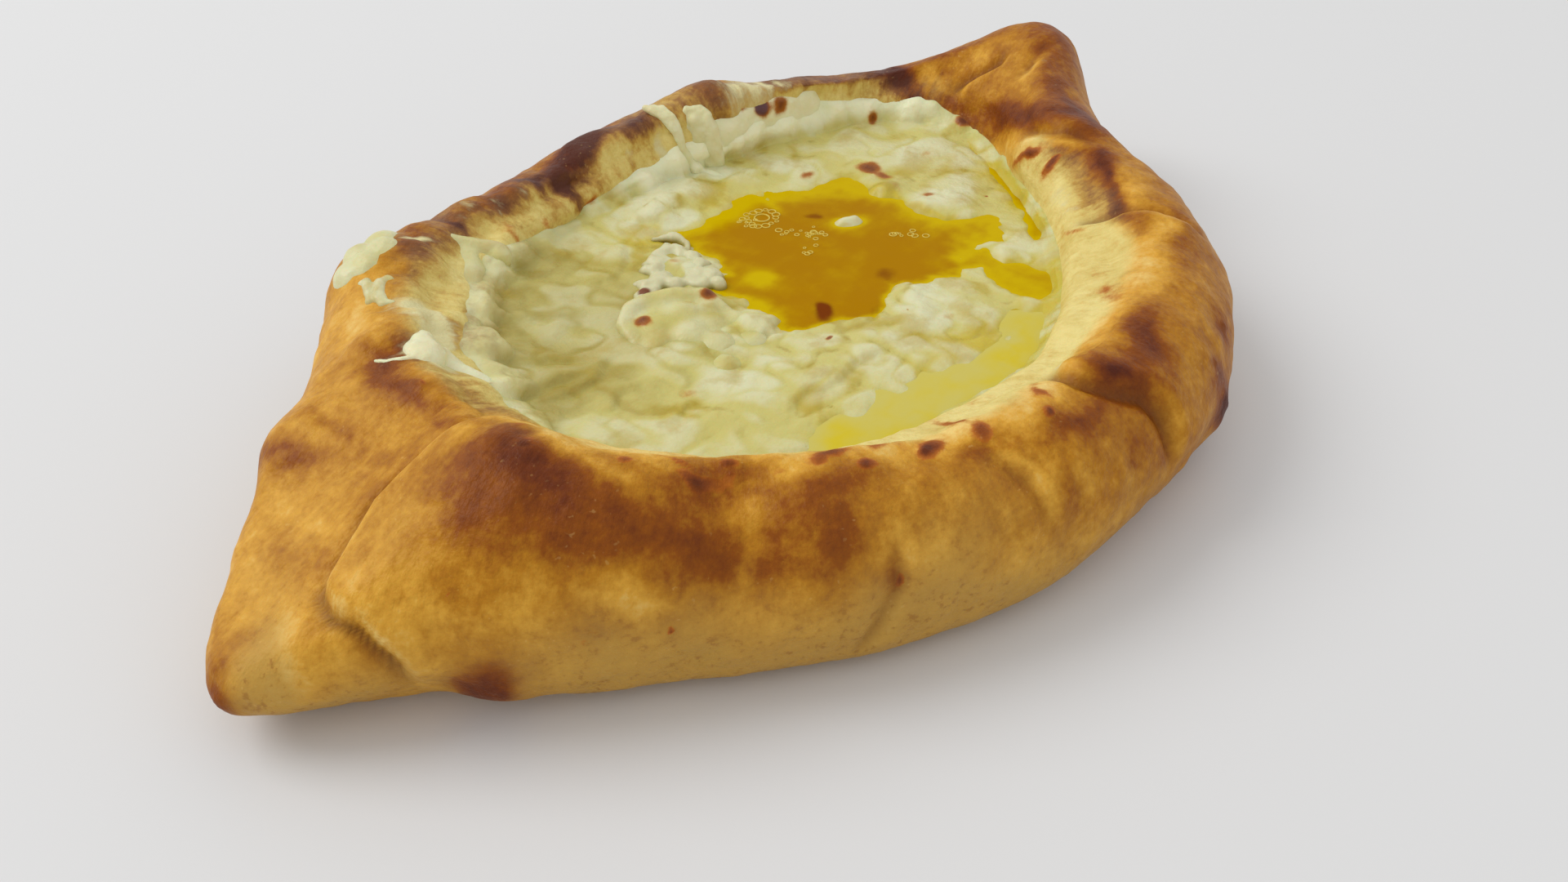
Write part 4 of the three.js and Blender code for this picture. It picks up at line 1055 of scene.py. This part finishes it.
def make_cheese():
    wall_rings = len(HIDDEN_WALL_ROWS)
    rings = wall_rings + FILM_RINGS + FILLET_RINGS + TOP_RINGS + 1
    piece, u, v = sheet("melted_cheese", CHEESE_STEPS, rings)
    ring = np.rint(v * rings).astype(int)
    station = (u * STATIONS) % STATIONS
    level = np.full_like(station, LEVEL_ROW)
    inward = unit(crust_directions(station, level)[2][:, :2])
    reach = around(SLOPE_REACH, station)[:, None]
    shore_flat = crust(station, level)[:, :2] + reach * inward
    shore = raised(shore_flat, cheese_top(shore_flat))
    foot = film_place(station, 1)
    knee = raised(foot[:, :2] + 0.3 * reach * inward, 0.25 * foot[:, 2] + 0.75 * shore[:, 2])
    lift = np.zeros(len(u))
    points = np.zeros((len(u), 3))
    points[ring == 0] = (*BREAD_CENTRE[:2], WELL_FLOOR + 0.5)

    def span(first, count):
        """The vertices from one ring to another and how far along they are, 0 to 1."""
        here = (ring >= first) & (ring <= first + count)
        return here, (ring[here] - first) / count

    here, _ = span(1, wall_rings - 1)
    points[here] = crust(station[here], np.array(HIDDEN_WALL_ROWS)[ring[here] - 1], 0.3)
    here, f = span(wall_rings + 1, FILM_RINGS)
    points[here] = film_place(station[here], f)
    lift[here] = ease(f, 0, 0.5)
    here, f = span(wall_rings + 1 + FILM_RINGS, FILLET_RINGS)
    lift[here] = 1 - f * f
    f = f[:, None]
    points[here] = (1 - f) ** 2 * foot[here] + 2 * f * (1 - f) * knee[here] + f * f * shore[here]
    lobes = 1.3 * puffs(points, 9, 151) + 0.5 * puffs(points, 4, 161) - 0.5
    push = lift * np.maximum(lobes, -0.2) * around(FILM_THICKNESS, station) / 1.8
    points += raised(0.8 * inward, 0.5) * push[:, None]
    inner = ring > rings - TOP_RINGS
    share = (rings - ring[inner]) / TOP_RINGS
    flat = CHEESE_CENTRE + (shore_flat[inner] - CHEESE_CENTRE) * share[:, None]
    points[inner] = raised(flat, cheese_top(flat))
    lay(piece, points)
    paint_cheese(piece, points)
    return close_up(piece)


def paint_cheese(piece, points):
    flat = points[:, :2]
    warp = drift(raised(flat), 9, 71, 2) + 0.5 * drift(raised(flat), 3.5, 73, 2)
    moved = flat + 1.8 * warp
    on_wall = [mark for mark in BLISTERS if mark[1] > 6.5]
    spot = dabs_on_cheese(flat + 0.7 * warp, CHEESE_SPOTS, 2.6) + dabs_on_crust(points, on_wall, 2.6)
    left = ease(-flat[:, 0], -6, 34) * ease(flat[:, 1], -14, 24)
    wall = ease(points[:, 2], 28.5, 33)
    back_right = ease(flat[:, 0], -5, 25) * ease(flat[:, 1], 20, 45)
    # Holes in the cheese on the back wall: the dough shows through, in painted shade.
    holes = dabs_on_crust(points, CHEESE_HOLES)
    tint(piece, 1.3, oil=dabs_on_cheese(moved, CHEESE_OIL) + 0.9 * ease(pool_depth(flat), 0, 0.8))
    tint(piece, 1.1, spot=spot)
    # Whiter up the back-right wall: white cheese, with painted light.
    tint(piece, 1.2, milk=dabs_on_cheese(moved, CHEESE_WHITE) + 0.75 * wall * back_right - 0.1 * left)
    # Painted shade on the cheese's left, faintly up the walls away from the back right, and in the holes.
    tint(
        piece, shade=0.85 * left * (1 - 0.75 * wall) + 0.1 * wall * (1 - back_right) + holes,
        tan=0.6 * ease(points[:, 2], 30, 38) * (1 - back_right) + holes,
        # painted light up the back-right and left walls
        puff=cheese_puffs(flat + 0.4 * warp) * 1.2, pale=wall * (0.85 * back_right + 0.25 * left),
    )


def make_pool(name, basin, level, thinning, thin_marks=()):
    """A level pool: its rim goes under the cheese, and the cheese's own shape gives its shore."""
    piece, u, v = sheet(name, POOL_STEPS, POOL_RINGS + 3)
    ring = np.rint(v * (POOL_RINGS + 3))
    share = np.interp(ring, POOL_RINGS + np.array([-POOL_RINGS, 0, 1, 2, 3]), [0, 1, 1, 0.6, 0])
    basin = np.array(basin, float)
    edge = around(basin, (u * len(basin)) % len(basin))
    flat = basin.mean(0) + (edge - basin.mean(0)) * share[:, None]
    lay(piece, raised(flat, np.where(ring <= POOL_RINGS, level, level - POOL_SKIRT)))
    depth = (YOLK_LEVEL - cheese_top(flat)) / thinning - 0.75 * dabs_on_cheese(flat, thin_marks)
    moved = flat + 0.8 * drift(raised(flat), 3.5, 73, 2)
    tint(piece, 3, depth=depth)
    tint(piece, 1.1, spot=dabs_on_cheese(moved, CHEESE_SPOTS, 2.6))
    return close_up(piece)


# ---- lumps, smears and strands ----

def lump(name, beads, shape, milk, pale=0, spots=(), greyed=()):
    """Beads (x, y, z, radius) melted into one lump, with the layers that its material reads.

    The shape is the size of a voxel, the knobs' height and size, and the rounds of smoothing. Spots, and
    grey places of painted shade, are (x, y, z, radius, darkness).
    """
    voxel, knobs, size, calming = shape
    parts = []
    for *place, radius in beads:
        select()
        place = [length * MM for length in place]
        bpy.ops.mesh.primitive_ico_sphere_add(subdivisions=3, radius=radius * MM, location=place)
        parts.append(bpy.context.active_object)
    piece = join(name, parts)
    melt = piece.modifiers.new("melt", "REMESH")
    melt.mode = "VOXEL"
    melt.voxel_size = voxel * MM
    bpy.ops.object.modifier_apply(modifier=melt.name)
    calm = piece.modifiers.new("calm", "SMOOTH")
    calm.factor = 0.6
    calm.iterations = calming
    bpy.ops.object.modifier_apply(modifier=calm.name)
    points = read(piece) / MM
    rough = knobs * clouds(points, (1, size, 81), (0.5, size / 2, 82))
    lay(piece, points + read(piece, "normal") * rough[:, None])
    bpy.ops.object.shade_smooth()
    points = read(piece) / MM
    warped = points + 0.6 * drift(points, 3, 91)

    def balls(marks, power):
        return sum(dark * bell(norm(warped - place), radius, power) for *place, radius, dark in marks)

    tint(piece, 1.1, spot=balls(spots, 2.4))
    # Painted shade: a little all over and more at the grey places; painted light as given.
    tint(
        piece, oil=0.25, milk=milk, shade=0.1 + balls(greyed, 2), tan=0, pale=pale,
        peak=ease(points[:, 2], 25.6, 29), puff=0.6 + 0.3 * cloud(points, 5, 94),
    )
    return piece


def chain(path, radii, gap=1.0):
    """Beads close together along a path of x, y, z."""
    stops = np.column_stack([path, radii])
    beads = []
    for here, there in zip(stops[:-1], stops[1:]):
        count = max(1, int(norm(there[:3] - here[:3]) / gap))
        for k in range(count):
            f = k / count
            beads.append(here * (1 - f) + there * f)
    return beads + [stops[-1]]


def crust_chain(path, radii, sink=0.35, gap=1.0):
    """Beads along a path of (station, row) on the dough, partly sunk in it."""
    station, row = np.array(path, float).T
    return chain(crust(station % STATIONS, row, -np.asarray(sink) * np.array(radii)), radii, gap)


def make_cheese_fold():
    beads = FOLD_BODY + chain(FOLD_RIDGE, [1.8, 2.2, 2.3, 2.2, 2.2, 2.1, 1.8], 1.2)
    spots = [(-33.3, 20, 29.5, 2.1, 0.8), (-14.5, 15.5, 30, 2.3, 0.9), (-20, 17, 29, 1.6, 0.3)]
    return lump("cheese_curl", beads, (0.7, 0.3, 7, 16), 0.3, 0, spots, [(-26, 8, 28, 14, 0.3)])


def make_egg_white():
    rng = np.random.default_rng(11)
    beads = []
    centre_x, centre_y = CURD_CENTRE
    for x, y in CURD_PATH:
        radius = rng.uniform(2.2, 3.1)
        beads.append((x, y, 27.9 - 0.6 * radius, radius))
        dx, dy = rng.normal(0, 1.6, 2)
        beads.append((x + dx, y + dy, 26.4, rng.uniform(1.6, 2.4)))
        for share in (0.66, 0.36):
            place = (centre_x + share * (x - centre_x), centre_y + share * (y - centre_y), 25.6 + share)
            beads.append((*place, rng.uniform(1.6, 2.2)))
    hook = [(0.2, 46.6, 26.8), (4.6, 43.4, 27), (4.4, 39, 27), (1.5, 36, 26.8)]
    beads += chain(hook, [0.9, 1.2, 1.1, 0.9])
    spots = [(-22, 30, 29, 1.8, 0.9), (-6.5, 33.8, 26, 2, 0.5)]
    return lump("egg_white_curds", beads, (0.5, 0.7, 3.6, 5), 0.8, 0, spots)


def make_left_smear():
    beads = []
    for place in [(14.06, 4.2), (14.16, 3.95), (14.16, 4.35), (14.28, 3.85), (14.27, 4.15)]:
        beads += crust_chain([place], [5.6], 0.8)
    comma = [(14.45, 4.22), (14.46, 4.33), (14.52, 4.4), (14.63, 4.44)]
    beads += crust_chain(comma, [0.8, 1.4, 1.6, 1], 0.45, 0.4)
    hook = [(14.49, 4.8), (14.46, 4.7), (14.5, 4.6), (14.6, 4.6), (14.68, 4.72), (14.71, 4.92)]
    beads += crust_chain(hook, [0.9, 1.3, 1.7, 1.8, 1.4, 0.8], 0.45, 0.4)
    return lump("smear_left", beads, (0.4, 0.25, 3, 4), 0.6)


def make_corner_smear():
    blob = [(15.12, 5.6), (15.22, 5.72), (15.28, 5.6), (15.2, 5.5)]
    beads = crust_chain(blob, [3.6, 4.4, 4.4, 3.8], 0.5)
    beads += crust_chain([(15.07, 5.6), (15.1, 5.8)], [2.8, 2.6], 0.6)
    root = [(15.2, 6), (15.32, 6.4), (15.42, 6.9), (15.5, 7.4)]
    beads += crust_chain(root, [3.6, 3.4, 3.4, 3.4], 0.72)
    tail = [(15.3, 5.4), (15.29, 5.2), (15.27, 5), (15.23, 4.8), (15.18, 4.68)]
    beads += crust_chain(tail, [1.6, 0.9, 0.7, 0.6, 0.55], 0.3, 0.3)
    greyed = [(-66, 47, 37, 5, 0.5), (-72, 50, 40, 3, 0.4)]
    return lump("smear_corner", beads, (0.4, 0.2, 3, 5), 0.7, 0.5, (), greyed)


def make_back_smear():
    beads = []
    for station in np.arange(10.8, 11.7, 0.11):
        for row in np.arange(6.3, 7.9, 0.4):
            beads += crust_chain([(station + 0.04 * np.sin(7 * row), row)], [5.0], 0.82)
    beads += crust_chain(BACK_SMEAR_EDGE, [3.4] * len(BACK_SMEAR_EDGE), 0.8, 1.2)
    spots = [
        (65.3, 55.4, 38.4, 3, 0.75), (59.3, 57.2, 39.4, 2.4, 0.9), (52, 61.6, 44, 3.4, 0.9),
        (54, 59, 42, 2, 0.5),
    ]
    greyed = [(59.3, 57.2, 39.4, 3.5, 1), (52, 61.6, 44, 5, 1)]
    return lump("smear_back", beads, (0.7, 0.4, 6, 10), 0.9, 0.6, spots, greyed)


def make_flap():
    tongue = [(13.86, 5.4), (13.81, 5.9), (13.78, 6.4), (13.76, 6.9), (13.77, 7.15)]
    beads = crust_chain(tongue, [1.8, 2.4, 2.8, 3.4, 3.8], [0.8, 0.5, 0.35, 0.2, 0.15])
    root = [(13.9, 6.3), (14.02, 6.9), (14.2, 7.4), (14.4, 7.8)]
    beads += crust_chain(root, [3.8, 4.4, 4.4, 3.6], 0.72)
    return lump("flap", beads, (0.6, 0.3, 4, 6), 0.3, 0.15)


def ribbon(strand):
    """Beads along a flat strand: (x, y, z, radius, half width)."""
    *path, radii, halves = np.array(strand).T
    sideways = np.outer(halves, STRAND_SIDEWAYS)
    paths = [np.transpose(path) + way * sideways for way in (-1, 0, 1)]
    return [bead for line in paths for bead in chain(line, radii, 0.7)]


def make_left_pull():
    return lump("pull_left", ribbon(LEFT_STRAND) + [(35, 61.4, 29, 2)], (0.45, 0.25, 3, 6), 0.6, 0.35)


def make_right_pull():
    return lump("pull_right", ribbon(RIGHT_STRAND), (0.5, 0.4, 3, 6), 0.5, 0.3)


def make_foam():
    """Bubbles on the yolk: the biggest with a ring of small ones round it, and patches."""
    rng = np.random.default_rng(7)
    bubbles = [BIG_BUBBLE]
    for turn in np.linspace(0, 2 * np.pi, 15)[:-1]:
        reach = 3.6 + 1.2 * rng.random()
        x, y = BIG_BUBBLE[0] + reach * np.cos(turn), BIG_BUBBLE[1] + reach * np.sin(turn)
        bubbles.append((x, y, 0.5 + 0.6 * rng.random()))
    for x, y, spread, count in FOAM_PATCHES:
        for _ in range(count):
            dx, dy = rng.normal(0, spread, 2)
            bubbles.append((x + 0.8 * dx, y + dy, 0.35 + 0.6 * rng.random() ** 2))
    rings = []
    for x, y, radius in bubbles:
        select()
        bpy.ops.mesh.primitive_torus_add(
            major_segments=14, minor_segments=6, major_radius=radius * MM,
            minor_radius=(0.10 + 0.07 * radius) * MM, location=(x * MM, y * MM, (YOLK_LEVEL + 0.04) * MM),
        )
        rings.append(bpy.context.active_object)
    foam = join("foam", rings)
    bpy.ops.object.shade_smooth()
    return foam


# ---- studio ----

def make_floor():
    select()
    bpy.ops.mesh.primitive_plane_add(size=FLOOR_SIZE, location=(0, 0, 0))
    floor = bpy.context.active_object
    floor.name = "floor"
    material, _ = new_material("floor")
    floor.data.materials.append(set_shader(material, colour(FLOOR_PALE), 0.9, 0.1, {}))


def make_light():
    scene = bpy.context.scene
    scene.view_settings.view_transform = "Standard"
    scene.world = bpy.data.worlds.new("studio")
    scene.world.use_nodes = True
    sky = scene.world.node_tree.nodes["Background"]
    sky.inputs["Color"].default_value = (1, 1, 1, 1)
    sky.inputs["Strength"].default_value = SKY_STRENGTH
    lamp = bpy.data.lights.new("window", "AREA")
    lamp.shape = "DISK"
    lamp.size = WINDOW_SIZE
    lamp.energy = WINDOW_POWER
    window = bpy.data.objects.new("window", lamp)
    window.location = WINDOW_PLACE
    window.rotation_euler = (-window.location).to_track_quat("-Z", "Y").to_euler()
    scene.collection.objects.link(window)


def make_camera():
    lens = bpy.data.cameras.new("camera")
    lens.lens = LENS
    lens.sensor_width = SENSOR
    lens.clip_start = NEAREST
    camera = bpy.data.objects.new("camera", lens)
    camera.location = Vector(CAMERA_PLACE) * MM
    camera.rotation_euler = Vector(CAMERA_AIM).to_track_quat("-Z", "Y").to_euler()
    bpy.context.scene.collection.objects.link(camera)
    bpy.context.scene.camera = camera


make_floor()
make_light()
make_camera()

CRUST = crust_finish()
CHEESE = cheese_finish()
YOLK = pool_finish("yolk", YOLK_YELLOW, YOLK_AMBER)
BUTTER = pool_finish("melted_butter", BUTTER_THIN, BUTTER_DEEP)

finish_piece(make_bread(), CRUST, "crust", "bread")
finish_piece(make_cheese(), CHEESE, "melted_cheese", "cheese")
yolk = make_pool("yolk_pool", YOLK_BASIN, YOLK_LEVEL, 1.8, YOLK_THIN)
finish_piece(yolk, YOLK, "yolk", "egg_yolk")
butter = make_pool("butter_pool", BUTTER_BASIN, BUTTER_LEVEL, 1.2)
finish_piece(butter, BUTTER, "melted_butter", "butter")
finish_piece(make_cheese_fold(), CHEESE, "melted_cheese", "cheese_fold")
finish_piece(make_egg_white(), curd_finish(), "white", "egg_white")
for make_lump, node in [
    (make_left_pull, "cheese_pull_left"), (make_right_pull, "cheese_pull_right"),
    (make_left_smear, "rim_cheese_left"), (make_corner_smear, "rim_cheese_corner"),
    (make_back_smear, "rim_cheese_back"), (make_flap, "cheese_flap"),
]:
    finish_piece(make_lump(), CHEESE, "melted_cheese", node)
finish_piece(make_foam(), foam_finish(), "yolk")
